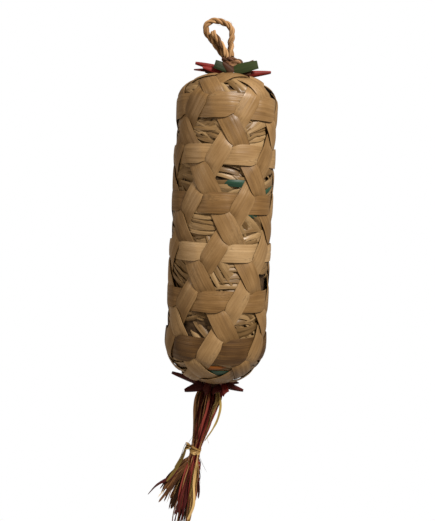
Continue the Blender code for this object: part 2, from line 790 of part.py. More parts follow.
def build_surfaces():
    return {
        "leaf_tan": material("leaf_tan", (0.42, 0.29, 0.15)),
        "leaf_brown": material("leaf_brown", (0.33, 0.20, 0.09)),
        "leaf_pale": material("leaf_pale", (0.36, 0.27, 0.15), 0.85),
        "leaf_red": material("leaf_red", (0.28, 0.03, 0.03), 0.5),
        "leaf_maroon": material("leaf_maroon", (0.09, 0.01, 0.012), 0.5),
        "leaf_green": material("leaf_green", (0.035, 0.05, 0.02), 0.5),
        "rope": material("rope", (0.40, 0.24, 0.11), 0.9),
        "cane": material("cane", (0.45, 0.33, 0.16), 0.5),
        "plug_wood": material("plug_wood", (0.45, 0.30, 0.16)),
        "thorn": material("thorn", (0.20, 0.12, 0.06)),
        "seed": material("seed", (0.16, 0.08, 0.04), 0.4),
        "raffia_maroon": material("raffia_maroon", (0.12, 0.02, 0.02)),
        "raffia_brown": material("raffia_brown", (0.14, 0.07, 0.025)),
        "raffia_tan": material("raffia_tan", (0.36, 0.24, 0.09)),
        "raffia_olive": material("raffia_olive", (0.17, 0.11, 0.03)),
    }


clear_scene()
rainstick = new_collection("rainstick")
cutters = new_collection("cutters")
stick_frame = add_empty("stick_frame", None, -HOOK_POINT)
knot_joint = add_empty("knot_joint", stick_frame, KNOT_CENTRE)
tassel_joint = add_empty("tassel_joint", stick_frame, TASSEL_PIVOT)

surfaces = build_surfaces()
build_weave(surfaces)
build_stuffing(surfaces)
build_tube(surfaces)
build_pegs(surfaces)
build_plugs(surfaces)
build_cords(surfaces)
build_seeds(surfaces)
build_rosettes(surfaces)
build_rope(surfaces)
build_tassel(surfaces)
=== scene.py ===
"""The looks of a hanging rainstick: palm-leaf weave, leaf packing, rope loop and raffia tassel."""

import math

import bmesh
import bpy
import numpy as np
from mathutils import Matrix, Vector


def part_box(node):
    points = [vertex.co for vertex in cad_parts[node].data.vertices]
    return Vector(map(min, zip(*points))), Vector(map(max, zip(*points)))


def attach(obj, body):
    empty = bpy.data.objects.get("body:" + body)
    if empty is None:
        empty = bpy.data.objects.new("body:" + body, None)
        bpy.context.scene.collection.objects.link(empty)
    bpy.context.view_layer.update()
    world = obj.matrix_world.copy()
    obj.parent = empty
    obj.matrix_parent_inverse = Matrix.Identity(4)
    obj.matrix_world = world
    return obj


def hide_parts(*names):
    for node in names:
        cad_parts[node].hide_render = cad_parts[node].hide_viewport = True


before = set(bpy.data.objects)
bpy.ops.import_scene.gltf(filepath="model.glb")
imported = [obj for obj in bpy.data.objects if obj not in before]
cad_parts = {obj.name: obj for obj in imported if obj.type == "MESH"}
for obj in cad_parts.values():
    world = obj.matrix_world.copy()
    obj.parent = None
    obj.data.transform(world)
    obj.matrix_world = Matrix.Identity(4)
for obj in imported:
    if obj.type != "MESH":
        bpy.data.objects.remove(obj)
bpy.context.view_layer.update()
bpy.ops.object.select_all(action="DESELECT")

MM = 0.001

# ---------------------------------------------------------------- camera
# A level camera, at about the height of the third band and half a metre in front. It leans a
# little, as the stick hangs a little off plumb from its side-set loop.
knot_low, knot_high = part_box("top_knot")
KNOT = (knot_low + knot_high) / 2
AXIS_X = KNOT.x

CAMERA_DISTANCE = 0.500
CAMERA_ROLL = math.radians(2.84)
CAMERA_RISE = 43.0 * MM
FRAME_HEIGHT = 0.3797
SENSOR = 36.0
LOOK_BESIDE = 1.4 * MM
LOOK_BELOW_KNOT = 142.8 * MM
look_at = Vector((AXIS_X - LOOK_BESIDE, 0.0, KNOT.z - LOOK_BELOW_KNOT))

camera = bpy.data.objects.new("camera", bpy.data.cameras.new("camera"))
bpy.context.scene.collection.objects.link(camera)
bpy.context.scene.camera = camera
camera.data.sensor_width = SENSOR
camera.data.lens = SENSOR * CAMERA_DISTANCE / FRAME_HEIGHT
camera.data.clip_start = 0.01
right = Vector((math.cos(CAMERA_ROLL), 0.0, math.sin(CAMERA_ROLL)))
backward = Vector((0.0, -1.0, 0.0))
up = backward.cross(right)
camera.data.shift_x = -CAMERA_RISE * right.z / FRAME_HEIGHT
camera.data.shift_y = -CAMERA_RISE * up.z / FRAME_HEIGHT
turn = Matrix((right, up, backward)).transposed().to_4x4()
stand = look_at + backward * CAMERA_DISTANCE + Vector((0.0, 0.0, CAMERA_RISE))
camera.matrix_world = Matrix.Translation(stand) @ turn


# ---------------------------------------------------------------- rope loop and knot
# Three-strand rope of golden-brown leaf fibre, laid up by hand. It is doubled into a loop, its two
# ends are drawn into one knot, and its cut end is left standing along the loop's left leg.

ROPE_WIDTH = 4.7 * MM
ROPE_LAY = 17.0 * MM
LOOP_ROUTE = [
    (1.6, 1.3, 12.6), (0.6, 1.1, 17.4), (0.5, 0.4, 23.4), (1.0, 0.0, 27.0), (1.0, 0.0, 30.2),
    (0.2, 0.0, 33.4), (-1.9, 0.0, 36.0), (-5.0, 0.0, 37.4), (-8.6, 0.0, 38.4), (-12.3, 0.0, 38.6),
    (-15.6, 0.0, 37.6), (-17.8, 0.0, 35.4), (-18.3, 0.0, 32.3), (-16.8, 0.1, 28.4),
    (-13.7, 0.4, 24.9), (-10.8, 0.8, 21.4), (-7.7, 1.1, 17.7), (-3.4, 1.3, 12.8),
]
TAIL_ROUTE = [
    (-0.9, -3.5, 10.6), (-4.0, -3.6, 17.2), (-6.6, -3.4, 21.1), (-9.3, -3.3, 24.7),
    (-11.8, -3.2, 27.8), (-13.3, -3.2, 30.4),
]
KNOT_ABOVE_POLE = 7.0 * MM


def stick_point(x, y, z):
    """A point given in millimetres from the weave's upper pole, in the row's frame."""
    return Vector((AXIS_X + x * MM, y * MM, KNOT.z - KNOT_ABOVE_POLE + z * MM))


def stacked(*columns):
    """Columns brought to one shape, as the last axis of one array."""
    return np.stack(np.broadcast_arrays(*columns), axis=-1)


def steps_of(line):
    """The length of each step of a line."""
    return np.linalg.norm(np.diff(line, axis=0), axis=1)


def smooth_route(points, count):
    """Evenly spread points on a Catmull-Rom curve through the given ones, as an array."""
    nodes = np.array([tuple(p) for p in points], float)
    ends = [2 * nodes[0] - nodes[1], *nodes, 2 * nodes[-1] - nodes[-2]]
    t = np.linspace(0.0, 1.0, 24, endpoint=False)[:, None]
    spans = [
        0.5 * (2 * b + (c - a) * t + (2 * a - 5 * b + 4 * c - d) * t**2
               + (3 * b - a - 3 * c + d) * t**3)
        for a, b, c, d in zip(ends, ends[1:], ends[2:], ends[3:])
    ]
    fine = np.concatenate([*spans, nodes[-1:]])
    along = np.concatenate([[0], np.cumsum(steps_of(fine))])
    at = np.linspace(0, along[-1], count)
    return stacked(*(np.interp(at, along, column) for column in fine.T))


def stick_route(route, count):
    """The smooth line through points given as for stick_point."""
    return smooth_route([stick_point(*p) for p in route], count)


def carried_frames(line):
    """Unit tangents and two crosswise directions that turn as little as possible along a line."""
    tangents = np.gradient(line, axis=0)
    tangents /= np.linalg.norm(tangents, axis=1)[:, None]
    side = np.cross(tangents[0], (0.0, 1.0, 0.3))
    sides = []
    for tangent in tangents:
        side = side - tangent * np.dot(side, tangent)
        side /= np.linalg.norm(side)
        sides.append(side)
    sides = np.array(sides)
    return tangents, sides, np.cross(tangents, sides)


WELD = 1e-7
POINTED_END = 1e-8
GRAIN_STEP = 0.05


class Leafwork:
    """A mesh made of laid sheets and tubes. Each point keeps its grain: the distance along and
    across its strip, and the strip's own number, for the fibres to follow. Tone is its shade."""

    def __init__(self, name):
        self.name = name
        self.bm = bmesh.new()
        self.grain = self.bm.verts.layers.float_vector.new("grain")
        self.tone = self.bm.verts.layers.float.new("tone")

    def sheet(self, points, grain, tone, closed=False):
        rows, columns = points.shape[:2]
        made = bmesh.ops.create_grid(
            self.bm, x_segments=columns - 1, y_segments=rows - 1, size=1.0)["verts"]
        places, lies = points.reshape(-1, 3), grain.reshape(-1, 3)
        shades = np.broadcast_to(tone, points.shape[:2]).ravel()
        for vert, place, lie, shade in zip(made, places, lies, shades):
            vert.co = place
            vert[self.grain] = lie
            vert[self.tone] = shade
        if closed:
            bmesh.ops.remove_doubles(self.bm, verts=made, dist=WELD)

    def tube(self, line, widths, tone, number, sides=10, flat=1.0, twist=0.0):
        """A closed tube with its ends drawn to a point. flat under 1 makes a ribbon of it."""
        count = len(line)
        _, side, other = carried_frames(line)
        around = np.linspace(0.0, math.tau, sides + 1)
        lean = np.linspace(0.0, twist, count)[:, None]
        along = np.concatenate([[0], np.cumsum(steps_of(line))])
        widths = np.broadcast_to(widths, count).copy()
        widths[0] = widths[-1] = POINTED_END
        a = np.cos(around)[None, :] * widths[:, None]
        b = np.sin(around)[None, :] * widths[:, None] * flat
        across_a = a * np.cos(lean) - b * np.sin(lean)
        across_b = a * np.sin(lean) + b * np.cos(lean)
        points = (line[:, None, :] + side[:, None, :] * across_a[..., None]
                  + other[:, None, :] * across_b[..., None])
        grain = stacked(along[:, None], a, b + number * GRAIN_STEP)
        self.sheet(points, grain, tone, closed=True)

    def finish(self, material, body, wall=0.0, replaced=(), slot=None):
        """Makes the object, gives it its wall, and lets it ride on its body."""
        if not wall:
            bmesh.ops.recalc_face_normals(self.bm, faces=self.bm.faces)
        mesh = bpy.data.meshes.new(self.name)
        self.bm.to_mesh(mesh)
        self.bm.free()
        piece = bpy.data.objects.new(self.name, mesh)
        bpy.context.scene.collection.objects.link(piece)
        mesh.materials.append(material)
        bpy.context.view_layer.objects.active = piece
        piece.select_set(True)
        if wall:
            shell = piece.modifiers.new("wall", "SOLIDIFY")
            shell.thickness = wall
            shell.offset = 0.0
            bpy.ops.object.modifier_apply(modifier=shell.name)
        bpy.ops.object.shade_smooth_by_angle(angle=math.radians(50))
        bpy.ops.object.select_all(action="DESELECT")
        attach(piece, body)
        if replaced:
            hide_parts(*replaced)
        return piece


class Value:
    """A socket in a material. Arithmetic on it adds the Math nodes."""

    def __init__(self, finish, socket):
        self.finish = finish
        self.socket = socket

    def _math(self, operation, other):
        return self.finish.node("ShaderNodeMath", {"operation": operation}, {0: self, 1: other})

    def __add__(self, other):
        return self._math("ADD", other)

    def __sub__(self, other):
        return self._math("SUBTRACT", other)

    def __mul__(self, other):
        return self._math("MULTIPLY", other)


class Finish:
    """One material, built on its Principled shader."""

    def __init__(self, name, roughness=0.6, specular=0.4):
        self.material = bpy.data.materials.new(name)
        self.material.use_nodes = True
        self.tree = self.material.node_tree
        self.shader = self.tree.nodes["Principled BSDF"]
        self.shader.inputs["Roughness"].default_value = roughness
        self.shader.inputs["Specular IOR Level"].default_value = specular

    def node(self, kind, settings=None, values=None, output=0):
        """Adds a node: its settings first, then the values or links of its sockets."""
        made = self.tree.nodes.new(kind)
        for key, setting in (settings or {}).items():
            if key == "stops":
                ramp = made.color_ramp
                while len(ramp.elements) < len(setting):
                    ramp.elements.new(1.0)
                for element, (place, colour) in zip(ramp.elements, setting):
                    element.position = place
                    element.color = (*colour, 1.0)
            else:
                setattr(made, key, setting)
        for key, value in (values or {}).items():
            self.put(made.inputs[key], value)
        return Value(self, made.outputs[output])

    def put(self, socket, value):
        if isinstance(value, Value):
            self.tree.links.new(value.socket, socket)
        elif hasattr(value, "__len__") and len(value) == 3 and socket.type == "RGBA":
            socket.default_value = (*value, 1.0)
        else:
            socket.default_value = value

    def blend(self, factor, first, second):
        """Mixes two colours."""
        return self.node("ShaderNodeMix", {"data_type": "RGBA"},
                         {0: factor, 6: first, 7: second}, output=2)

    def attribute(self, name, output):
        return self.node("ShaderNodeAttribute", {"attribute_name": name}, output=output)

    def stretched(self, vector, scales):
        return self.node("ShaderNodeVectorMath", {"operation": "MULTIPLY"},
                         {0: vector, 1: scales})

    def noise(self, vector, scale=1.0, detail=3.0, roughness=0.55):
        return self.node("ShaderNodeTexNoise", {},
                         {"Vector": vector, "Scale": scale, "Detail": detail,
                          "Roughness": roughness})

    def between(self, value, low, high, to_low=0.0, to_high=1.0):
        """The value's place between low and high, smoothed and clamped."""
        return self.node("ShaderNodeMapRange", {"interpolation_type": "SMOOTHSTEP"},
                         {0: value, 1: low, 2: high, 3: to_low, 4: to_high})

    def bump(self, height, distance, strength=1.0, under=None):
        values = {"Height": height, "Distance": distance, "Strength": strength}
        if under is not None:
            values["Normal"] = under
        return self.node("ShaderNodeBump", {}, values)

    def wear(self, **sockets):
        """Feeds the shader's sockets and gives back the material."""
        for name, value in sockets.items():
            self.put(self.shader.inputs[name.replace("_", " ")], value)
        return self.material


def fibre_finish(name, dark, middle, light, roughness=0.62, specular=0.14, depth=0.25 * MM,
                 threads=1500.0):
    """Long plant fibres laid side by side, each a shade of its own, with darker hollows."""
    finish = Finish(name, roughness, specular)
    grain = finish.attribute("grain", 1)
    tone = finish.attribute("tone", 2)
    threads_at = finish.stretched(grain, (70.0, threads, threads))
    fibres = finish.noise(threads_at, detail=4.0, roughness=0.65)
    broad = finish.noise(finish.stretched(grain, (45.0, 260.0, 260.0)), detail=2.0)
    shade = finish.between(fibres * 0.55 + broad * 0.45 + (tone - 0.5) * 0.5, 0.30, 0.72)
    colour = finish.node("ShaderNodeValToRGB",
                         {"stops": [(0.0, dark), (0.5, middle), (1.0, light)]}, {0: shade})
    hollows = finish.noise(finish.stretched(grain, (25.0, threads * 0.6, threads * 0.6)))
    return finish.wear(
        Base_Color=colour,
        Roughness=finish.between(fibres, 0.2, 0.8, roughness + 0.1, roughness - 0.12),
        Normal=finish.bump(fibres * 0.6 + hollows * 0.4, depth, 0.9),
    )


ROPE_STRANDS = 3
ROPE_RING = 0.6 * MM
STRAND_OFFSET = 0.262
STRAND_RADIUS = 0.245


def twisted_rope(work, line, width, lay, rng, start=0.0):
    """Strands laid round a line, each one a little uneven. Their offset and radius are shares of
    the rope's width."""
    count = max(8, int(steps_of(line).sum() / ROPE_RING))
    fine = smooth_route(line, count)
    _, side, other = carried_frames(fine)
    along = np.linspace(0, 1, count) * steps_of(fine).sum()
    for k in range(ROPE_STRANDS):
        turn = start + along / lay * math.tau + k * math.tau / ROPE_STRANDS
        knots = np.linspace(0, along[-1], 14)
        uneven = 1.0 + 0.10 * np.interp(along, knots, rng.uniform(-1, 1, 14))
        out = width * STRAND_OFFSET * uneven
        strand = (fine + side * (np.cos(turn) * out)[:, None]
                  + other * (np.sin(turn) * out)[:, None])
        work.tube(strand, width * STRAND_RADIUS * uneven, rng.uniform(0.25, 0.8),
                  rng.integers(99), sides=12)


def stray_fibres(work, line, width, count, rng, reach=3.0 * MM):
    """Thin ends of fibre that stand off a rope or a bundle."""
    _, side, other = carried_frames(line)
    for _ in range(count):
        k = rng.integers(2, len(line) - 3)
        turn = rng.uniform(0, math.tau)
        out = side[k] * math.cos(turn) + other[k] * math.sin(turn)
        along = (line[k + 1] - line[k]) / np.linalg.norm(line[k + 1] - line[k])
        along = along * rng.choice([-1, 1])
        length = rng.uniform(0.5, 1.0) * reach
        t = np.linspace(0, 1, 6)[:, None]
        path = (line[k] + out * width * 0.42 + along * length * 1.6 * t
                + out * length * rng.uniform(0.2, 0.7) * t**1.6)
        work.tube(path, np.linspace(0.11, 0.05, 6) * MM, rng.uniform(0.4, 1.0),
                  rng.integers(99), sides=3)


rope_fibre = fibre_finish("rope_fibre", (0.030, 0.012, 0.004), (0.125, 0.062, 0.022),
                          (0.235, 0.135, 0.060), roughness=0.66, depth=0.35 * MM, threads=1900.0)

rng = np.random.default_rng(5)
loop_line = stick_route(LOOP_ROUTE, 60)
work = Leafwork("rope_loop")
twisted_rope(work, loop_line, ROPE_WIDTH, ROPE_LAY, rng)
stray_fibres(work, loop_line, ROPE_WIDTH, 46, rng)
rope_loop = work.finish(rope_fibre, "loop", replaced=["hanging_loop"], slot="rope")
tuple(stick_point(*LOOP_ROUTE[0]))

work = Leafwork("rope_tail")
tail_line = stick_route(TAIL_ROUTE, 24)
twisted_rope(work, tail_line, ROPE_WIDTH * 0.92, ROPE_LAY, rng, start=1.0)
stray_fibres(work, tail_line, ROPE_WIDTH, 12, rng)
work.finish(rope_fibre, "loop", replaced=["loop_tail"], slot="rope")

# The knot: the rope is taken three times round its own legs, tucked, and its stub stands out to the
# right. The wraps get a darker copy of the rope's finish.
KNOT_ROUTE = [
    (-3.0, 2.0, 12.0), (-4.2, -1.2, 11.0), (-1.2, -4.0, 10.4), (2.8, -3.6, 10.0), (4.8, -0.2, 9.6),
    (3.0, 3.0, 9.0), (-1.2, 3.2, 8.4), (-3.6, 0.2, 7.8), (-2.0, -3.6, 7.2), (1.8, -4.6, 6.8),
    (4.8, -3.6, 6.4), (5.4, 0.0, 6.2), (3.2, 2.8, 5.6), (-0.4, 2.6, 5.2), (-2.2, -0.8, 4.8),
    (-0.6, -3.8, 4.8), (2.4, -5.0, 5.8), (5.2, -5.0, 7.8), (7.2, -4.6, 8.2), (8.4, -4.2, 6.6),
    (8.4, -4.0, 4.9),
]
knot_fibre = fibre_finish("knot_fibre", (0.018, 0.006, 0.003), (0.075, 0.033, 0.015),
                          (0.165, 0.090, 0.042), roughness=0.7, specular=0.12,
                          depth=0.35 * MM, threads=1900.0)
work = Leafwork("rope_knot")
knot_line = stick_route(KNOT_ROUTE, 110)
twisted_rope(work, knot_line, ROPE_WIDTH * 0.86, ROPE_LAY * 0.8, rng)
stray_fibres(work, knot_line, ROPE_WIDTH, 24, rng, reach=2.0 * MM)
work.finish(knot_fibre, "knot", replaced=["top_knot"], slot="rope")
work = Leafwork("knot_stub")
twisted_rope(work, knot_line[-26:], ROPE_WIDTH * 1.05, ROPE_LAY * 0.8, rng)
work.finish(rope_fibre, "knot", slot="rope")


# ---------------------------------------------------------------- the woven strips
# Split palm-leaf strips, dried tan and brown. Six level bands, and twelve slanting strips that lean
# both ways, are woven over and under one another in the open six-sided cane pattern. Each slanting
# strip is one length of leaf, turned over near the poles and tucked back under.

bands = sorted(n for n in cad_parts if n.startswith("level_band_"))
BANDS = len(bands)
CELLS_AROUND = len([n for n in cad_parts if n.startswith("rising_strip_")])
HALF_CELL = math.pi / CELLS_AROUND
band_boxes = [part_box(n) for n in bands]
BAND_HEIGHTS = [(low.z + high.z) / 2 for low, high in band_boxes]
CAD_LIFT_AND_HALF_WALL = 0.95 * MM
WEAVE_RADIUS = (band_boxes[0][1].y - band_boxes[0][0].y) / 2 - CAD_LIFT_AND_HALF_WALL
TOP_POLE = KNOT.z - KNOT_ABOVE_POLE
WEAVE_LENGTH = 224.0 * MM
TOP_DOME = 22.0 * MM
BOTTOM_DOME = 30.0 * MM
WEAVE_TURN = math.radians(-82.0)
LAST_BAND_SWEEP = 2.5 * HALF_CELL

STRIP_WIDTH = 13.4 * MM
BAND_SWELLS = [0.25 * MM, 0.15 * MM, 0.0, 0.1 * MM, 0.1 * MM, 0.1 * MM]
BAND_TONES = [0.25, 0.7, 0.35, 1.15, 0.5, -0.45]
BAND_WIDTHS = [17.2 * MM, 14.4 * MM, 13.6 * MM, 13.2 * MM, 15.2 * MM, 18.0 * MM]
BROWN_BANDS = (2, 4, 5)
BAND_TUCK_DEPTH = 0.5 * MM
TRIANGLE_ROOM = 5.35 * MM
STRIP_WALL = 0.34 * MM
OVER_AND_UNDER = 0.78 * MM
DOME_NARROWING = 0.22


class WeaveSurface:
    """The weave's middle surface: two domes and a cylinder, by distance down the meridian."""

    def __init__(self, inset=0.0, samples=1200):
        top = np.linspace(0, math.pi / 2, samples)
        bottom = np.linspace(math.pi / 2, math.pi, samples)
        straight = WEAVE_LENGTH - TOP_DOME - BOTTOM_DOME
        self.r = (WEAVE_RADIUS - inset) * np.concatenate([np.sin(top), np.sin(bottom)])
        self.z = TOP_POLE + np.concatenate([
            (TOP_DOME - inset) * np.cos(top) - TOP_DOME,
            -TOP_DOME - straight + (BOTTOM_DOME - inset) * np.cos(bottom),
        ])
        step = np.hypot(np.diff(self.r), np.diff(self.z))
        self.s = np.concatenate([[0], np.cumsum(step)])

    def radius(self, s):
        return np.interp(s, self.s, self.r)

    def height(self, s):
        return np.interp(s, self.s, self.z)

    def s_at_height(self, z):
        return float(np.interp(-z, -self.z, self.s))

    def s_at_radius(self, radius, bottom):
        half = len(self.s) // 2
        if bottom:
            return float(np.interp(-radius, -self.r[half:], self.s[half:]))
        return float(np.interp(radius, self.r[:half], self.s[:half]))

    def point(self, s, angle, lift):
        """Places at s down the meridian and angle round the axis, raised along the normal."""
        reach = 0.05 * MM
        dr = (self.radius(s + reach) - self.radius(s - reach)) / (2 * reach)
        dz = (self.height(s + reach) - self.height(s - reach)) / (2 * reach)
        r = self.radius(s) - dz * lift
        z = self.height(s) + dr * lift
        return stacked(r * np.cos(angle), r * np.sin(angle), z)


class StripPath:
    """The line of a slanting strip between its turns. On the cylinder its slope is constant, and
    on a dome it levels out towards a turning radius, chosen so that it meets the last band in
    the same place of each cell."""

    def __init__(self, surface):
        self.surface = surface
        pitch = (BAND_HEIGHTS[0] - BAND_HEIGHTS[-1]) / (BANDS - 1)
        self.level_cos = math.cos(math.atan2(pitch, WEAVE_RADIUS * HALF_CELL))
        self.band_s = [surface.s_at_height(z) for z in BAND_HEIGHTS]
        self.turn = [self.solve_turn(False, self.band_s[0]), self.solve_turn(True, self.band_s[-1])]
        start = surface.s_at_radius(self.turn[0], False)
        end = surface.s_at_radius(self.turn[1], True)
        samples = 6000
        t = (np.arange(samples) + 0.5) / samples * math.pi
        s = start + (end - start) * (1 - np.cos(t)) / 2
        ds = (end - start) / 2 * np.sin(t) * math.pi / samples
        upper = s < (start + end) / 2
        steep = np.where(upper, self.slope(s, self.turn[0]), self.slope(s, self.turn[1]))
        self.s, self.steep = s, steep
        self.along = np.cumsum(ds / np.sin(steep))
        self.angle = np.cumsum(ds / (np.tan(steep) * surface.radius(s)))
        self.length = self.along[-1]

    def slope(self, s, turn_radius):
        share = np.clip(turn_radius / self.surface.radius(s), 0, 1)
        power = math.log(self.level_cos) / math.log(turn_radius / WEAVE_RADIUS)
        return np.arccos(np.clip(share**power, 0, 1 - 1e-12))

    def sweep(self, turn_radius, bottom, band_s):
        start = self.surface.s_at_radius(turn_radius, bottom)
        t = (np.arange(4000) + 0.5) / 4000
        s = start + (band_s - start) * t**2
        ds = abs(band_s - start) * 2 * t / 4000
        return float(np.sum(ds / (np.tan(self.slope(s, turn_radius)) * self.surface.radius(s))))

    def solve_turn(self, bottom, band_s):
        low, high = 0.30 * WEAVE_RADIUS, 0.80 * WEAVE_RADIUS
        for _ in range(40):
            middle = (low + high) / 2
            if self.sweep(middle, bottom, band_s) > LAST_BAND_SWEEP:
                low = middle
            else:
                high = middle
        return middle

    def crossing(self, half_cells):
        """The distance along, and the slope, at so many half cells past the upper turn."""
        angle = half_cells * HALF_CELL
        return np.interp(angle, self.angle, self.along), np.interp(angle, self.angle, self.steep)

    def place(self, along, across, lift):
        s = np.interp(along, self.along, self.s)
        steep = np.interp(along, self.along, self.steep)
        angle = np.interp(along, self.along, self.angle)
        beside = s + across * np.cos(steep)
        round_it = angle - across * np.sin(steep) / self.surface.radius((s + beside) / 2)
        return self.surface.point(beside, round_it, lift)


def spun(points, turn, mirror=False):
    """Points turned about the stick's axis, after a mirroring left to right if asked."""
    x, y = points[..., 0], points[..., 1] * (-1 if mirror else 1)
    c, s = math.cos(turn), math.sin(turn)
    return stacked(c * x - s * y, s * x + c * y, points[..., 2])


def on_axis(points):
    return points + (AXIS_X, 0.0, 0.0)


def ride_height(along, across, crossings):
    """How high a strip lies: up where it goes over another, and down where it goes under. Each
    crossing is (distance along, angle between the strips, over or under, the other's width)."""
    inside = {1: np.full(along.shape, -1.0), -1: np.full(along.shape, -1.0)}
    for at, angle, over, width in crossings:
        away = np.abs((along - at) * math.sin(angle) + across * math.cos(angle))
        inside[over] = np.maximum(inside[over], width / 2 - away)
    ease = 1.5 * MM
    return (OVER_AND_UNDER * (inside[1] - inside[-1])
            / (np.abs(inside[1]) + np.abs(inside[-1]) + ease))


def wander(rng, along, spacing, amount):
    """A slow random drift along a length."""
    count = max(4, int(np.ptp(along) / spacing) + 2)
    knots = np.linspace(along.min(), along.max(), count)
    drift = rng.uniform(-1, 1, count)
    fine = np.interp(along, knots, drift)
    width = max(3, int(len(along) / count))
    window = np.hanning(width + 2)[1:-1]
    padded = np.pad(fine, width, mode="edge")
    return amount * np.convolve(padded, window / window.sum(), mode="same")[width:-width]


STRIP_COLUMNS = 11


def strip_points(rng, length_points, crossings, width, place, pinches=()):
    """One strip's sheet: its points, with their grain, from its line and its crossings. It is
    pinched where its edge meets the small triangle between three strips."""
    along = length_points[:, None]
    share = np.linspace(-1, 1, STRIP_COLUMNS)[None, :]
    wide = width / 2 * rng.uniform(0.955, 1.03)
    wide = wide + wander(rng, length_points, 22 * MM, 0.35 * MM)
    left = wide + wander(rng, length_points, 7 * MM, 0.12 * MM)
    right = wide + wander(rng, length_points, 7 * MM, 0.12 * MM)
    pinch = max(np.max(width) / 2 - TRIANGLE_ROOM, 1.0 * MM)
    reach = 2.2 * MM * math.sqrt(pinch / MM)
    for at, side in pinches:
        dent = pinch * np.exp(-(((length_points - at) / reach) ** 2))
        left = left - dent * (side < 0)
        right = right - dent * (side > 0)
    across = np.where(share < 0, share * left[:, None], share * right[:, None])
    across = across + wander(rng, length_points, 40 * MM, 0.45 * MM)[:, None]
    lift = ride_height(along + 0 * across, across, crossings)
    cup = wander(rng, length_points, 30 * MM, 0.10 * MM)[:, None] + 0.16 * MM
    crease_at = rng.uniform(-0.5, 0.5)
    crease = 0.22 * MM * np.exp(-(((share - crease_at) / 0.10) ** 2))
    crease = crease * (0.4 + wander(rng, length_points, 25 * MM, 1.0)[:, None])
    lift = lift + cup * (1 - share**2 * 2) - crease
    points = place(along + 0 * across, across, lift)
    number = rng.integers(200)
    grain = stacked(along, across, number * GRAIN_STEP)
    return points, grain, rng.uniform(0, 1)


STAIN = 0.4


def leaf_finish(name, shades, roughness=0.40, specular=0.16, rib=1.0):
    """Dried palm leaf: fine ribs along the strip, streaks, stains and a satin skin."""
    dark, middle, light, pale = shades
    finish = Finish(name, roughness, specular)
    grain = finish.attribute("grain", 1)
    tone = finish.attribute("tone", 2)
    ribs = finish.noise(finish.stretched(grain, (14.0, 2100.0, 900.0)), detail=3.0)
    streaks = finish.noise(finish.stretched(grain, (24.0, 520.0, 700.0)), detail=4.0)
    patches = finish.noise(finish.stretched(grain, (42.0, 110.0, 400.0)), detail=3.0)
    specks = finish.noise(finish.stretched(grain, (420.0, 1100.0, 400.0)), detail=2.0)
    shade = ribs * 0.26 + streaks * 0.32 + patches * 0.42 + (tone - 0.5) * 0.26
    colour = finish.node("ShaderNodeValToRGB",
                         {"stops": [(0.22, dark), (0.43, middle), (0.60, light), (0.84, pale)]},
                         {0: shade})
    stained = finish.between(patches * 0.6 + specks * 0.4, 0.54, 0.70, 0.0, STAIN)
    colour = finish.blend(stained, colour, tuple(c * 0.42 for c in dark))
    creases = finish.noise(finish.stretched(grain, (18.0, 330.0, 700.0)), detail=2.0)
    low_bump = finish.bump(creases, 0.55 * MM, 0.8)
    return finish.wear(
        Base_Color=colour,
        Roughness=finish.between(streaks, 0.25, 0.75, roughness + 0.12, roughness - 0.10),
        Normal=finish.bump(ribs * 0.6 + streaks * 0.4, 0.16 * MM * rib, 0.9, under=low_bump),
    )


leaf_tan = leaf_finish(
    "leaf_tan", [(0.050, 0.025, 0.007), (0.112, 0.064, 0.025), (0.162, 0.101, 0.046),
                 (0.235, 0.160, 0.085)])
leaf_brown = leaf_finish(
    "leaf_brown", [(0.036, 0.017, 0.005), (0.085, 0.045, 0.015), (0.130, 0.074, 0.028),
                   (0.20, 0.125, 0.055)], roughness=0.46)

path = StripPath(WeaveSurface())
RING = 1.6 * MM
TUCK = 5.0 * MM


def slanting_width(along):
    """A slanting strip's width, by its distance along: it narrows over the domes."""
    s = np.interp(along, path.along, path.s)
    share = 1 - path.surface.radius(s) / WEAVE_RADIUS
    return STRIP_WIDTH * (1 - DOME_NARROWING * np.clip(share * 2.2, 0, 1))


def slanting_crossings(sign):
    """Where a slanting strip meets the others. A falling one, sign 1, goes over the rising ones
    and under the bands, and a rising one, sign -1, the other way round."""
    found = []
    for half_cells, over, width in (
        [(1, -sign, STRIP_WIDTH), (2, sign, STRIP_WIDTH)]
        + [(2.5 + k, -sign, BAND_WIDTHS[k]) for k in range(BANDS)]
        + [(3 + k, sign, STRIP_WIDTH) for k in range(BANDS)]
        + [(BANDS + 3, -sign, STRIP_WIDTH)]
    ):
        at, steep = path.crossing(half_cells)
        angle = steep if half_cells % 1 else 2 * steep
        found.append((float(at), float(angle), over, width))
    return found


def slanting_pinches():
    """The middles of the small triangles at a strip's two edges, between its crossings."""
    found = []
    for k in range(BANDS):
        band_at = float(path.crossing(2.5 + k)[0])
        before = (float(path.crossing(2.0 + k)[0]) + band_at) / 2
        after = (float(path.crossing(3.0 + k)[0]) + band_at) / 2
        found += [(before, 1), (after, -1)]
    return found


FIRST_CROSSING = float(path.crossing(1)[0])
LAST_CROSSING = float(path.crossing(BANDS + 3)[0])

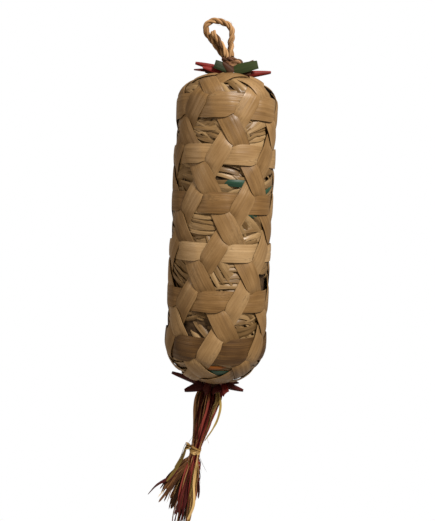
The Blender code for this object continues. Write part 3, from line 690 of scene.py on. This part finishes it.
for n in range(CELLS_AROUND):
    turn = WEAVE_TURN + (2 * n - 1) * HALF_CELL
    rng = np.random.default_rng(100 + n)
    start, end = FIRST_CROSSING - TUCK, LAST_CROSSING + TUCK
    line = np.linspace(start, end, int((end - start) / RING))
    points, grain, tone = strip_points(
        rng, line, slanting_crossings(1), slanting_width(line),
        lambda a, v, h, turn=turn: on_axis(spun(path.place(a, v, h), turn)), slanting_pinches())
    work = Leafwork(f"leaf_falling_strip_{n + 1}")
    work.sheet(points, grain, tone)
    work.finish(leaf_tan, "stick", STRIP_WALL, [f"falling_strip_{n + 1}"], "leaf_tan")

    def over_both_poles(along, across, lift, turn=turn):
        """A rising strip's place. Past each pole's turn it comes back down the other way."""
        main = path.place(along, across, lift)
        upper = spun(path.place(-along, -across, lift), 0.0, True)
        lower = spun(path.place(2 * path.length - along, -across, lift), 2 * path.angle[-1], True)
        past_upper, past_lower = (along < 0)[..., None], (along > path.length)[..., None]
        folded = np.where(past_upper, upper, np.where(past_lower, lower, main))
        return on_axis(spun(folded, turn, True))

    rng = np.random.default_rng(200 + n)
    start, end = -FIRST_CROSSING - TUCK, 2 * path.length - LAST_CROSSING + TUCK
    line = np.linspace(start, end, int((end - start) / RING))
    crossings = slanting_crossings(-1)
    folds = [(-crossings[0][0], crossings[0][1], -1, STRIP_WIDTH),
             (2 * path.length - crossings[-1][0], crossings[-1][1], -1, STRIP_WIDTH)]
    points, grain, tone = strip_points(
        rng, line, crossings + folds,
        slanting_width(np.minimum(np.abs(line), 2 * path.length - line)),
        over_both_poles, slanting_pinches())
    work = Leafwork(f"leaf_rising_strip_{n + 1}")
    work.sheet(points, grain, tone)
    work.finish(leaf_tan, "stick", STRIP_WALL, [f"rising_strip_{n + 1}"], "leaf_tan")

for k in range(BANDS):
    rng = np.random.default_rng(300 + k)
    s = path.band_s[k]
    radius = float(path.surface.radius(s))
    steep = float(path.crossing(2.5 + k)[1])
    crossings, pinches = [], []
    for cell in range(CELLS_AROUND + 4):
        middle = WEAVE_TURN + 2 * cell * HALF_CELL
        near = -1 if k % 2 else 1
        fall, rise = middle - near * HALF_CELL / 2, middle + near * HALF_CELL / 2
        crossings.append((fall * radius, math.pi - steep, 1, STRIP_WIDTH))
        crossings.append((rise * radius, steep, -1, STRIP_WIDTH))
        pinches.append((middle * radius, near))
        pinches.append(((middle + HALF_CELL) * radius, -near))
    start = (WEAVE_TURN + 3.5 * HALF_CELL) * radius
    end = start + math.tau * radius + TUCK
    line = np.linspace(start, end, int((end - start) / RING))

    def round_the_stick(along, across, lift):
        """A band's place. Its last stretch goes under its first."""
        under = BAND_TUCK_DEPTH * np.clip((along - end + 2 * TUCK) / TUCK, 0, 1)
        raised = lift - under + BAND_SWELLS[k]
        return on_axis(path.surface.point(s + across, along / radius, raised))

    points, grain, tone = strip_points(
        rng, line, crossings, BAND_WIDTHS[k] + 0 * line, round_the_stick, pinches)
    work = Leafwork(f"leaf_level_band_{k + 1}")
    work.sheet(points, grain, BAND_TONES[k])
    work.finish(leaf_brown if k in BROWN_BANDS else leaf_tan, "stick", STRIP_WALL,
                [f"level_band_{k + 1}"], "leaf_brown")


# ---------------------------------------------------------------- the imported leaf shreds
# Torn ends of the same leaf are packed tight between the weave and the sounding tube, mostly lying
# round the stick. A few are dyed green and orange. The crumpled bed under them is painted shade.

BED_INSET = 3.0 * MM
BED_ROWS = 130
BED_COLUMNS = 96
POLE_GAP = 0.01 * MM
SHRED_WALL = 0.22 * MM
TIGHTEST_TURN = 12 * MM
LEAST_COVER = 0.55 * MM
POLE_ROOM = 1.5 * MM
DYED_DEPTH = 1.5 * MM
LAST_SHRED_S = path.surface.s[-1]
bed = WeaveSurface(inset=BED_INSET, samples=60)
rng = np.random.default_rng(11)
work = Leafwork("shred_bed")
rows = np.linspace(POLE_GAP, bed.s[-1] - POLE_GAP, BED_ROWS)[:, None]
angles = np.linspace(0, math.tau, BED_COLUMNS + 1)[None, :]
lumps = rng.uniform(-0.6, 0.5, (BED_ROWS, BED_COLUMNS)) * MM
lumps = np.concatenate([lumps, lumps[:, :1]], axis=1)
lumps[0] = lumps[-1] = 0.0
points = on_axis(bed.point(rows, angles, lumps))
points[0] = points[0].mean(axis=0)
points[-1] = points[-1].mean(axis=0)
grain = stacked(angles * bed.radius(rows), rows, 0 * rows)
work.sheet(points, grain, rng.uniform(0, 1, (BED_ROWS, BED_COLUMNS + 1)), closed=True)
# Painted shade: the bed's colours are far darker than the leaf's, for the shade between the shreds.
shade_leaf = leaf_finish(
    "leaf_in_shade", [(0.012, 0.006, 0.002), (0.025, 0.013, 0.005), (0.045, 0.026, 0.011),
                      (0.08, 0.05, 0.025)], roughness=0.75, specular=0.15)
work.finish(shade_leaf, "stick", replaced=["leaf_stuffing"], slot="leaf_pale")


def lay_shred(work, rng, s, angle, lean, length, width, depth, bend=0.0, tilt=0.0, rows=9):
    """One torn shred, lying at a lean to the level, bowed outwards, and a little ridged."""
    t = np.linspace(-1, 1, rows)[:, None]
    v = np.linspace(-1, 1, 4)[None, :]
    wide = width / 2 * (1 - 0.35 * np.abs(t) ** rng.uniform(3, 9))
    along, across = length / 2 * t, wide * v + bend * (t**2 - 0.3)
    radius = float(path.surface.radius(s))
    ds = along * math.sin(lean) + across * math.cos(lean)
    da = (along * math.cos(lean) - across * math.sin(lean)) / max(radius, TIGHTEST_TURN)
    tilt = tilt + rng.uniform(-0.12, 0.12)
    ridge = rng.uniform(0.15, 0.45) * MM
    lift = (-depth + 0.9 * MM * (1 - 1.9 * t**2) + tilt * wide * v + ridge * (1 - 1.6 * v**2)
            + rng.uniform(-0.2, 0.2) * MM * np.sin(t * 4 + s * 900))
    lift = np.minimum(lift, -LEAST_COVER)
    place_s = np.clip(s + ds, POLE_ROOM, LAST_SHRED_S - POLE_ROOM)
    points = on_axis(path.surface.point(place_s, angle + da, lift))
    grain = stacked(along, across, rng.integers(400) * GRAIN_STEP)
    work.sheet(points, grain, rng.uniform(0, 1))


WISPS = 225
rng = np.random.default_rng(12)
piles = [Leafwork("leaf_shreds_low"), Leafwork("leaf_shreds_high")]
for k in range(WISPS):
    s = LAST_SHRED_S * rng.uniform(0.01, 0.99)
    radius = float(path.surface.radius(s))
    if rng.uniform() > radius / WEAVE_RADIUS + 0.40:
        continue
    high = k % 2
    angle = rng.uniform(0, math.tau)
    lean = rng.normal(0.04, 0.36) if rng.uniform() < 0.86 else rng.uniform(-1.4, 1.4)
    length = rng.uniform(28, 50) * MM
    bend = rng.uniform(-0.14, 0.14) * length
    depth = rng.uniform(1.1, 1.9) * MM if high else rng.uniform(2.1, 2.8) * MM
    tilt = rng.choice([-0.36, 0.36])
    for m in range(rng.integers(4, 8)):
        step = (m - 2.5) * rng.uniform(3.0, 4.6) * MM
        lay_shred(piles[high], rng, s + step * math.cos(lean),
                  angle - step * math.sin(lean) / max(radius, TIGHTEST_TURN),
                  lean + rng.normal(0, 0.07), length * rng.uniform(0.75, 1.1),
                  rng.uniform(2.6, 5.4) * MM, depth + rng.uniform(0, 0.6) * MM, bend, tilt)
shred_leaf = leaf_finish(
    "leaf_shred", [(0.028, 0.014, 0.004), (0.080, 0.046, 0.017), (0.140, 0.088, 0.039),
                   (0.24, 0.165, 0.085)], roughness=0.42)
for pile in piles:
    pile.finish(shred_leaf, "stick", SHRED_WALL, ["leaf_stuffing"], "leaf_pale")

# The dyed shreds: (height below the pole, degrees round, lean, length, width) in mm and degrees.
GREEN_SHREDS = [(80, -68, 0.02, 27, 5.0), (82, -20, -0.5, 22, 4.2), (101, -52, 0.2, 26, 4.2),
                (211, -84, 0.05, 22, 4.4), (60, 60, 0.3, 30, 4.5), (140, 130, -0.3, 28, 4.0),
                (175, 15, 0.4, 26, 4.0), (100, 200, 0.2, 30, 4.4), (44, 95, 0.4, 22, 3.6)]
ORANGE_SHREDS = [(207, -90, -0.05, 20, 3.2), (216, -82, 0.1, 22, 3.4), (95, 105, 1.0, 16, 2.6),
                 (150, 80, 0.4, 24, 3.0), (70, 170, -0.4, 22, 3.0)]
dyed = (
    ("green_shreds", "leaf_green", GREEN_SHREDS,
     [(0.002, 0.006, 0.004), (0.004, 0.014, 0.009), (0.008, 0.027, 0.016), (0.02, 0.055, 0.035)]),
    ("orange_shreds", "leaf_red", ORANGE_SHREDS,
     [(0.05, 0.014, 0.003), (0.14, 0.045, 0.006), (0.24, 0.085, 0.012), (0.34, 0.16, 0.04)]),
)
for name, slot, shreds, shades in dyed:
    work = Leafwork(name)
    for below, degrees, lean, length, width in shreds:
        s = path.surface.s_at_height(TOP_POLE - below * MM)
        lay_shred(work, rng, s, math.radians(degrees), lean, length * MM, width * MM,
                  DYED_DEPTH, rows=11)
    work.finish(leaf_finish(f"{name}_dye", shades, roughness=0.42), "stick",
                SHRED_WALL, ["leaf_stuffing"], slot)


# ---------------------------------------------------------------- leaf points at both ends
# Folded points of dyed palm leaf are threaded on the cord, thirteen above the weave and ten below.
# Each is a strip folded along its middle, cut or rolled to a point, and pressed against the dome.

POINT_WALL = 0.4 * MM
DYED_RIB = 0.7


def leaf_point(work, base, tip, wide, tip_wide, fold, roll, arch, face, tone):
    """A folded leaf point from base to tip. fold is the angle of its two halves, roll curls its
    edges in, and arch lifts its middle. face is where its ridge points: degrees round the stick,
    and degrees above level."""
    base, tip = np.array(stick_point(*base)), np.array(stick_point(*tip))
    t = np.linspace(0, 1, 17)[:, None]
    v = np.linspace(-1, 1, 9)[None, :]
    length = np.linalg.norm(tip - base)
    round_it, above = math.radians(face[0]), math.radians(face[1])
    normal = (math.cos(round_it) * math.cos(above), math.sin(round_it) * math.cos(above),
              math.sin(above))
    side = np.cross(tip - base, normal)
    side /= np.linalg.norm(side)
    normal = np.cross(side, (tip - base) / length)
    half = (wide * (1 - t) ** 0.85 + tip_wide * t**0.6) * (0.72 + 0.28 * np.minimum(1, t * 5))
    half = half * MM
    turn = fold * np.abs(v) + roll * v**2
    out = half * v * np.cos(turn * 0.9)
    rise = half * (0.35 * math.sin(fold) - np.abs(v) * np.sin(turn)) + arch * MM * 4 * t * (1 - t)
    points = (base + (tip - base) * t[..., None] + side * out[..., None]
              + normal * rise[..., None])
    grain = stacked(length * t, half * v, tone * 5 + 0.3)
    work.sheet(points, grain, tone)


# The fourth, dark brown dye is painted shade: it stands for red points seen in shade at the front
# of the upper star.
DYES_AND_PAINTED_SHADE = {
    dye: (leaf_finish(f"leaf_{dye}_dye", shades, roughness, specular, DYED_RIB), slot)
    for dye, slot, roughness, specular, shades in (
        ("red", "leaf_red", 0.46, 0.10, [(0.026, 0.003, 0.003), (0.062, 0.005, 0.004),
                                         (0.100, 0.010, 0.008), (0.14, 0.028, 0.020)]),
        ("maroon", "leaf_maroon", 0.52, 0.05, [(0.008, 0.002, 0.002), (0.022, 0.004, 0.004),
                                               (0.045, 0.009, 0.008), (0.08, 0.024, 0.018)]),
        ("green", "leaf_green", 0.5, 0.05, [(0.003, 0.005, 0.002), (0.008, 0.012, 0.004),
                                            (0.015, 0.021, 0.007), (0.035, 0.04, 0.018)]),
        ("umber", "leaf_maroon", 0.55, 0.05, [(0.008, 0.003, 0.002), (0.018, 0.007, 0.004),
                                              (0.034, 0.015, 0.008), (0.06, 0.032, 0.018)]),
    )
}

# The maroon dye is partly the leaf's own dark red and partly painted shade, on points that lie in
# shade under and beside the red ones, above and below.
# Each point: its dye, its base and its tip, half its width at each, in mm, and its fold, roll, arch
# and face.
TOP_POINTS = [
    ("red", (-5.5, -3.5, 3.6), (-24.4, -4.0, 6.7), 4.4, 1.5, 0.7, 0.7, 0.4, (255, 35)),
    ("red", (-5.0, -6.5, 1.2), (-19.0, -8.0, 3.0), 3.6, 0.7, 0.4, 0.1, 0.2, (262, 30)),
    ("maroon", (-8.0, -5.0, 1.6), (-25.2, -6.0, 1.2), 3.2, 0.6, 0.6, 0.1, 0.4, (255, 45)),
    ("green", (0.6, -8.0, 2.2), (-10.4, -10.0, 5.3), 2.2, 3.1, 0.15, 0.0, 0.5, (262, 12)),
    # The two dark brown points are painted shade on red points.
    ("umber", (3.6, -8.5, 0.2), (-4.4, -9.6, 6.4), 4.4, 0.9, 0.4, 0.1, 0.4, (270, 15)),
    ("green", (3.4, -8.6, 1.6), (20.4, -10.2, 6.3), 3.2, 3.0, 0.2, 0.0, 0.6, (278, 12)),
    ("maroon", (7.4, -7.6, 3.4), (17.4, -8.8, 9.0), 1.6, 0.9, 0.5, 0.1, 0.4, (278, 20)),
    ("umber", (7.0, -5.5, 0.8), (16.0, -8.5, 0.4), 3.2, 1.4, 0.4, 0.1, 0.4, (275, 25)),
    ("red", (11.0, -6.0, 0.2), (30.4, -4.0, 2.6), 4.8, 1.4, 0.7, 0.6, 0.2, (285, 35)),
    ("green", (4.4, 4.4, 1.2), (16.5, 15.5, 4.6), 5.0, 2.2, 0.85, 0.1, 0.5, (42, 55)),
    ("red", (0.5, 6.0, 1.0), (1.0, 24.5, 3.4), 5.2, 1.6, 0.9, 0.5, 0.3, (88, 60)),
    ("green", (-4.4, 4.4, 1.2), (-16.5, 16.5, 4.4), 5.2, 2.2, 0.85, 0.1, 0.5, (135, 55)),
    ("maroon", (-2.4, 6.5, 2.4), (-8.0, 19.5, 5.0), 4.0, 1.2, 0.8, 0.1, 0.4, (112, 60)),
]
BOTTOM_POINTS = [
    ("maroon", (-8.0, -1.0, -225.5), (-30.6, -1.0, -218.7), 3.4, 1.1, 0.3, 0.0, 0.3, (262, -25)),
    ("maroon", (-6.0, -6.0, -225.2), (-20.4, -9.0, -229.2), 5.0, 1.1, 0.3, 0.1, 0.4, (265, -15)),
    ("maroon", (-1.5, -6.0, -225.2), (-6.0, -12.0, -229.2), 5.0, 3.0, 0.3, 0.1, 0.3, (262, -25)),
    ("maroon", (2.0, -6.0, -225.4), (2.5, -12.0, -228.8), 4.5, 3.0, 0.3, 0.1, 0.3, (272, -25)),
    ("red", (5.5, -7.0, -224.9), (9.2, -12.5, -229.0), 3.4, 2.9, 0.3, 0.1, 0.3, (285, -20)),
    ("maroon", (9.0, -5.0, -224.9), (21.7, -8.0, -227.4), 3.0, 0.9, 0.3, 0.1, 0.3, (285, -15)),
    ("maroon", (5.0, 3.0, -225.8), (18.5, 9.0, -226.6), 5.0, 1.2, 0.8, 0.1, 0.2, (10, -55)),
    ("red", (3.0, 3.0, -226.4), (17.0, 14.5, -227.6), 6.0, 2.0, 0.8, 0.1, 0.3, (40, -55)),
    ("maroon", (1.0, 6.0, -225.8), (4.4, 25.0, -224.6), 5.4, 1.4, 0.7, 0.1, 0.3, (80, -60)),
    ("red", (-2.5, 3.2, -226.4), (-14.0, 17.7, -227.2), 6.0, 2.0, 0.8, 0.1, 0.3, (128, -55)),
]
STARS = {"top": {"red": "top_red_star", "green": "top_green_star"},
         "bottom": {"red": "bottom_red_star", "maroon": "bottom_dark_star"}}
rng = np.random.default_rng(21)
for end, points_list in (("top", TOP_POINTS), ("bottom", BOTTOM_POINTS)):
    for dye in DYES_AND_PAINTED_SHADE:
        chosen = [p for p in points_list if p[0] == dye]
        if not chosen:
            continue
        work = Leafwork(f"{end}_{dye}_points")
        for _, *shape in chosen:
            leaf_point(work, *shape, rng.uniform(0.2, 0.9))
        star = STARS[end].get(dye)
        finish, slot = DYES_AND_PAINTED_SHADE[dye]
        work.finish(finish, "stick", POINT_WALL, [star] if star else (), slot)


# ---------------------------------------------------------------- the raffia tassel
# A hank of dyed raffia, folded over the knot under the lower leaf points. Half-way down a strand of
# undyed raffia ties it, with its knot and its long ends on the left.

pivot_low, pivot_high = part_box("tassel_knot")
PIVOT = (pivot_low + pivot_high) / 2
HANK_TOP = np.array((-2.4, 0.0, -232.8))
TIE_CENTRE = np.array((-10.7, 0.0, -274.3))
DOWN = (TIE_CENTRE - HANK_TOP) / np.linalg.norm(TIE_CENTRE - HANK_TOP)
LOWEST_TIP, HIGHEST_TIP = -334.0, -296.0
TIE_TURNS = 6
LOOSE_ROUTE = [(4.9, -4.4, -233.4), (6.0, -4.8, -240.5), (4.6, -4.8, -249.0),
               (1.3, -4.4, -257.0), (-4.4, -4.0, -266.5)]
TAIL_OF_TIE = [(-15.7, -0.6, -274.2), (-16.6, -1.0, -270.8), (-18.4, -1.4, -273.6),
               (-20.8, -3.8, -281.2), (-25.4, -5.0, -289.4), (-30.2, -5.6, -296.4)]
MAROON_TAIL = [(-23.0, -4.0, -288.0), (-27.0, -5.0, -293.5), (-31.5, -4.6, -295.8),
               (-37.8, -3.6, -300.4), (-43.6, -2.8, -307.6)]
# Each end of the tie: its shift from the tail's line, and its width, in mm.
TIE_ENDS = [((0, 0, 0), 3.2), ((0.8, 0.8, 0.5), 2.0), ((-0.5, 1.1, 1.4), 1.4)]
# Each bundle: (its node, degrees round the tassel, its tip in mm, strands, slot).
BUNDLES = [
    ("raffia_maroon_front", 250, (-20.5, -4.5, -331), 15, "maroon"),
    ("raffia_tan_right", 310, (-13.5, -3.0, -334), 7, "tan"),
    ("raffia_maroon_right", 10, (-9.0, 2.5, -313), 10, "maroon"),
    ("raffia_maroon_back", 70, (-17.5, 6.0, -330), 13, "maroon"),
    ("raffia_brown_back", 130, (-26.5, 5.0, -322), 12, "brown"),
    ("raffia_brown_left", 190, (-33.0, -1.5, -313), 13, "brown"),
]

raffia = {
    colour: fibre_finish(f"raffia_{colour}", *shades, roughness=0.55, depth=0.22 * MM,
                         threads=2600.0)
    for colour, shades in (
        ("maroon", ((0.030, 0.003, 0.003), (0.085, 0.008, 0.007), (0.135, 0.024, 0.017))),
        ("brown", ((0.030, 0.011, 0.004), (0.090, 0.036, 0.013), (0.190, 0.098, 0.040))),
        ("tan", ((0.090, 0.048, 0.012), (0.225, 0.132, 0.042), (0.36, 0.240, 0.098))),
        ("olive", ((0.055, 0.036, 0.007), (0.150, 0.100, 0.024), (0.270, 0.195, 0.060))),
    )
}


def hank_strand(rng, degrees, tip, spread=1.0):
    """One strand's line: over the knot, in to the tie, and out to its end."""
    a = math.radians(degrees + rng.uniform(-42, 42))
    out = np.array((math.cos(a), math.sin(a), 0.0))
    reach = rng.uniform(0.55, 1.0)
    loose = rng.normal(0, 0.8, (4, 3))
    end = np.array(tip) + rng.normal(0, 1, 3) * (2.0, 1.4, 0.0) * spread
    end[2] = min(max(end[2] + rng.uniform(-2.0, 16.0), LOWEST_TIP), HIGHEST_TIP)
    stations = [
        HANK_TOP + out * (2.8 + 0.9 * reach) + (0, 0, 3.4),
        HANK_TOP + out * (4.4 + 2.9 * reach) + (0, 0, 2.2),
        HANK_TOP + out * (5.0 + 3.9 * reach) + DOWN * 3.5,
        HANK_TOP + out * (4.2 + 3.2 * reach) + DOWN * 11 + loose[0] * 0.5,
        HANK_TOP + DOWN * 24 + out * (2.6 + 2.6 * reach) + loose[1] * 0.7,
        TIE_CENTRE - DOWN * 5 + out * 3.2 * reach,
        TIE_CENTRE + out * 2.9 * reach,
        TIE_CENTRE + DOWN * 5 + out * 3.4 * reach,
        TIE_CENTRE + (end - TIE_CENTRE) * 0.42 + out * 1.6 * reach + loose[2] * 1.0,
        TIE_CENTRE + (end - TIE_CENTRE) * 0.75 + out * 1.6 * reach + loose[3] * 1.3,
        end,
    ]
    return stick_route(stations, 44)


def lay_strand(work, rng, line, width, flat=0.28):
    """A raffia strand: a thin folded ribbon that turns a little as it goes."""
    share = np.linspace(0, 1, len(line))
    shape = width * (0.85 + wander(rng, share, 0.12, 0.22))
    shape = shape * (1 - 0.45 * share**8)
    work.tube(line, shape / 2, rng.uniform(0, 1), rng.integers(300), sides=6, flat=flat,
              twist=rng.uniform(-4, 4))


for n, (node, degrees, tip, strands, colour) in enumerate(BUNDLES):
    rng = np.random.default_rng(400 + n)
    work = Leafwork(node.replace("raffia", "strands"))
    for k in range(strands):
        lay_strand(work, rng, hank_strand(rng, degrees, tip), rng.uniform(1.7, 3.6) * MM,
                   rng.uniform(0.10, 0.24))
    work.finish(raffia[colour], "tassel", replaced=[node], slot=f"raffia_{colour}")

# Odd strands of the other shades, spread all through the hank.
for n, (colour, count) in enumerate((("olive", 3), ("tan", 5), ("brown", 14))):
    rng = np.random.default_rng(450 + n)
    work = Leafwork(f"odd_{colour}_strands")
    for k in range(count):
        bundle = BUNDLES[rng.integers(len(BUNDLES))]
        lay_strand(work, rng, hank_strand(rng, bundle[1], bundle[2], 1.5),
                   rng.uniform(0.7, 1.6) * MM)
    work.finish(raffia[colour], "tassel", slot=f"raffia_{colour}")

# The loose strand that bows out on the right, and thin stray fibres all round.
rng = np.random.default_rng(470)
work = Leafwork("loose_strand")
lay_strand(work, rng, stick_route(LOOSE_ROUTE, 40), 2.6 * MM, 0.35)
work.finish(raffia["olive"], "tassel", replaced=["raffia_loose_strand"], slot="raffia_olive")

work = Leafwork("stray_strands")
for k in range(28):
    bundle = BUNDLES[rng.integers(len(BUNDLES))]
    line = hank_strand(rng, bundle[1], bundle[2], 2.2)
    first = rng.integers(6, 28)
    line = line[first:first + rng.integers(10, 16)]
    away = rng.normal(0, 1, 3) * (1.0, 0.6, 0.2)
    line = line + np.linspace(0, 1, len(line))[:, None] ** 1.7 * away * rng.uniform(2, 7) * MM
    lay_strand(work, rng, line, rng.uniform(0.28, 0.6) * MM, 0.6)
work.finish(raffia["brown"], "tassel", slot="raffia_brown")

# The knot that the hank hangs from, wrapped with maroon raffia.
rng = np.random.default_rng(480)
work = Leafwork("hank_knot")
for k in range(7):
    lean = rng.uniform(-0.5, 0.5)
    a = np.linspace(0, math.tau * 1.1, 40)
    r = 3.5 + 0.35 * rng.uniform(-1, 1)
    ring = stacked(r * np.cos(a), r * np.sin(a),
                   (k - 3) * 0.95 + r * lean * np.sin(a + k) * 0.4) * MM
    lay_strand(work, rng, ring + np.array(PIVOT), 1.9 * MM, 0.5)
work.finish(raffia["maroon"], "tassel_knot_body", replaced=["tassel_knot"],
            slot="raffia_maroon")

# The tie: six turns of golden raffia, its knot, and its ends.
rng = np.random.default_rng(490)
work = Leafwork("raffia_tie")
for k in range(TIE_TURNS):
    a = np.linspace(-0.3, math.tau + 0.3, 48) + k * 0.9
    r = 3.5 + 0.25 * rng.uniform(-1, 1)
    along = (k - (TIE_TURNS - 1) / 2) * 0.72 + 0.5 * np.sin(a + rng.uniform(0, 6))
    ring = (TIE_CENTRE + stacked(r * np.cos(a), r * np.sin(a), 0 * a)
            + along[:, None] * DOWN - stacked(0 * a, 0 * a, r * np.cos(a) * 0.2))
    line = np.array([stick_point(*p) for p in ring])
    lay_strand(work, rng, line, 2.0 * MM, 0.42)
for k in range(4):
    a = np.linspace(0, math.tau, 30)
    ring = stacked(1.5 * np.cos(a) - 16.0, 1.5 * np.sin(a) * 0.8 - 0.8,
                   -271.6 + (k - 1.5) * 1.0 + 0.8 * np.cos(a + k))
    lay_strand(work, rng, np.array([stick_point(*p) for p in ring]), 1.5 * MM, 0.5)
work.finish(raffia["tan"], "tassel", replaced=["tassel_tie"], slot="raffia_tan")

work = Leafwork("tie_ends")
tail = stick_route(TAIL_OF_TIE, 60)
for k, (shift, width) in enumerate(TIE_ENDS):
    lay_strand(work, rng, tail[: 60 - 9 * k] + np.array(shift) * MM, width * MM, 0.3)
work.finish(raffia["olive"], "tassel", slot="raffia_olive")

work = Leafwork("tie_end_maroon")
lay_strand(work, rng, stick_route(MAROON_TAIL, 34), 2.2 * MM, 0.3)
work.finish(raffia["maroon"], "tassel", slot="raffia_maroon")


# ---------------------------------------------------------------- inside the stick
# A cane tube closed by two turned plugs, with twelve thorns driven through its wall in a spiral,
# and the seeds that patter down over them.


def wood_finish(name, dark, middle, light, roughness=0.6):
    finish = Finish(name, roughness, 0.35)
    place = finish.node("ShaderNodeTexCoord", output=3)
    grain = finish.noise(finish.stretched(place, (900.0, 900.0, 45.0)), detail=4.0)
    broad = finish.noise(finish.stretched(place, (160.0, 160.0, 14.0)), detail=2.0)
    colour = finish.node("ShaderNodeValToRGB",
                         {"stops": [(0.3, dark), (0.5, middle), (0.7, light)]},
                         {0: grain * 0.6 + broad * 0.4})
    return finish.wear(Base_Color=colour, Roughness=finish.between(grain, 0.3, 0.7, 0.72, 0.48),
                       Normal=finish.bump(grain, 0.15 * MM, 0.8))


cane = wood_finish("cane", (0.20, 0.12, 0.045), (0.36, 0.24, 0.10), (0.50, 0.37, 0.18))
plug_wood = wood_finish("plug_wood", (0.16, 0.085, 0.035), (0.29, 0.17, 0.075), (0.42, 0.28, 0.14))
thorn = wood_finish("thorn", (0.06, 0.03, 0.012), (0.13, 0.07, 0.03), (0.22, 0.13, 0.06))
seed_skin = wood_finish("seed_skin", (0.05, 0.022, 0.008), (0.14, 0.07, 0.028),
                        (0.28, 0.17, 0.08), roughness=0.4)
INSIDE = (("sound_tube", cane), ("plug", plug_wood), ("peg", thorn), ("seed", seed_skin),
          ("cord", rope_fibre))
for node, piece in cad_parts.items():
    for word, finish in INSIDE:
        if word in node:
            piece.data.materials.clear()
            piece.data.materials.append(finish)


# ---------------------------------------------------------------- the floor and the light
# A plain white floor, well below the hanging stick, a white room, soft light from the upper right
# and a weak one from the left. The room is white behind the stick, and lights it from all round at
# a lower strength.

FLOOR_DROP = 1.3
ROOM_LIGHT = (0.46, 0.385, 0.30)
bpy.ops.mesh.primitive_circle_add(vertices=96, radius=1.8, fill_type="NGON",
                                  location=(AXIS_X, 0.0, KNOT.z - FLOOR_DROP))
floor = bpy.context.object
floor.name = "floor"
floor_paper = Finish("floor_paper", roughness=0.9, specular=0.1)
floor.data.materials.append(floor_paper.wear(Base_Color=(0.95, 0.95, 0.95)))

world = bpy.data.worlds.new("room")
world.use_nodes = True
room = world.node_tree
seen = room.nodes.new("ShaderNodeLightPath").outputs["Is Camera Ray"]
walls = room.nodes.new("ShaderNodeMix")
walls.data_type = "RGBA"
room.links.new(seen, walls.inputs["Factor"])
for k, colour in ((6, (*ROOM_LIGHT, 1.0)), (7, (1.0, 1.0, 1.0, 1.0))):
    walls.inputs[k].default_value = colour
room.links.new(walls.outputs[2], room.nodes["Background"].inputs["Color"])
bpy.context.scene.world = world


LIT_PLACE = Vector((AXIS_X, 0.0, KNOT.z - 0.12))


def soft_light(name, place, size, power, colour):
    lamp = bpy.data.objects.new(name, bpy.data.lights.new(name, "AREA"))
    bpy.context.scene.collection.objects.link(lamp)
    lamp.data.size = size
    lamp.data.energy = power
    lamp.data.color = colour
    lamp.location = place
    aim = LIT_PLACE - Vector(place)
    lamp.rotation_euler = aim.to_track_quat("-Z", "Y").to_euler()


soft_light("key", (0.44, -0.60, 0.50), 0.24, 29.0, (1.0, 0.96, 0.91))
soft_light("fill", (-0.70, -0.45, 0.00), 0.50, 3.0, (1.0, 0.88, 0.72))
bpy.context.scene.view_settings.view_transform = "Standard"
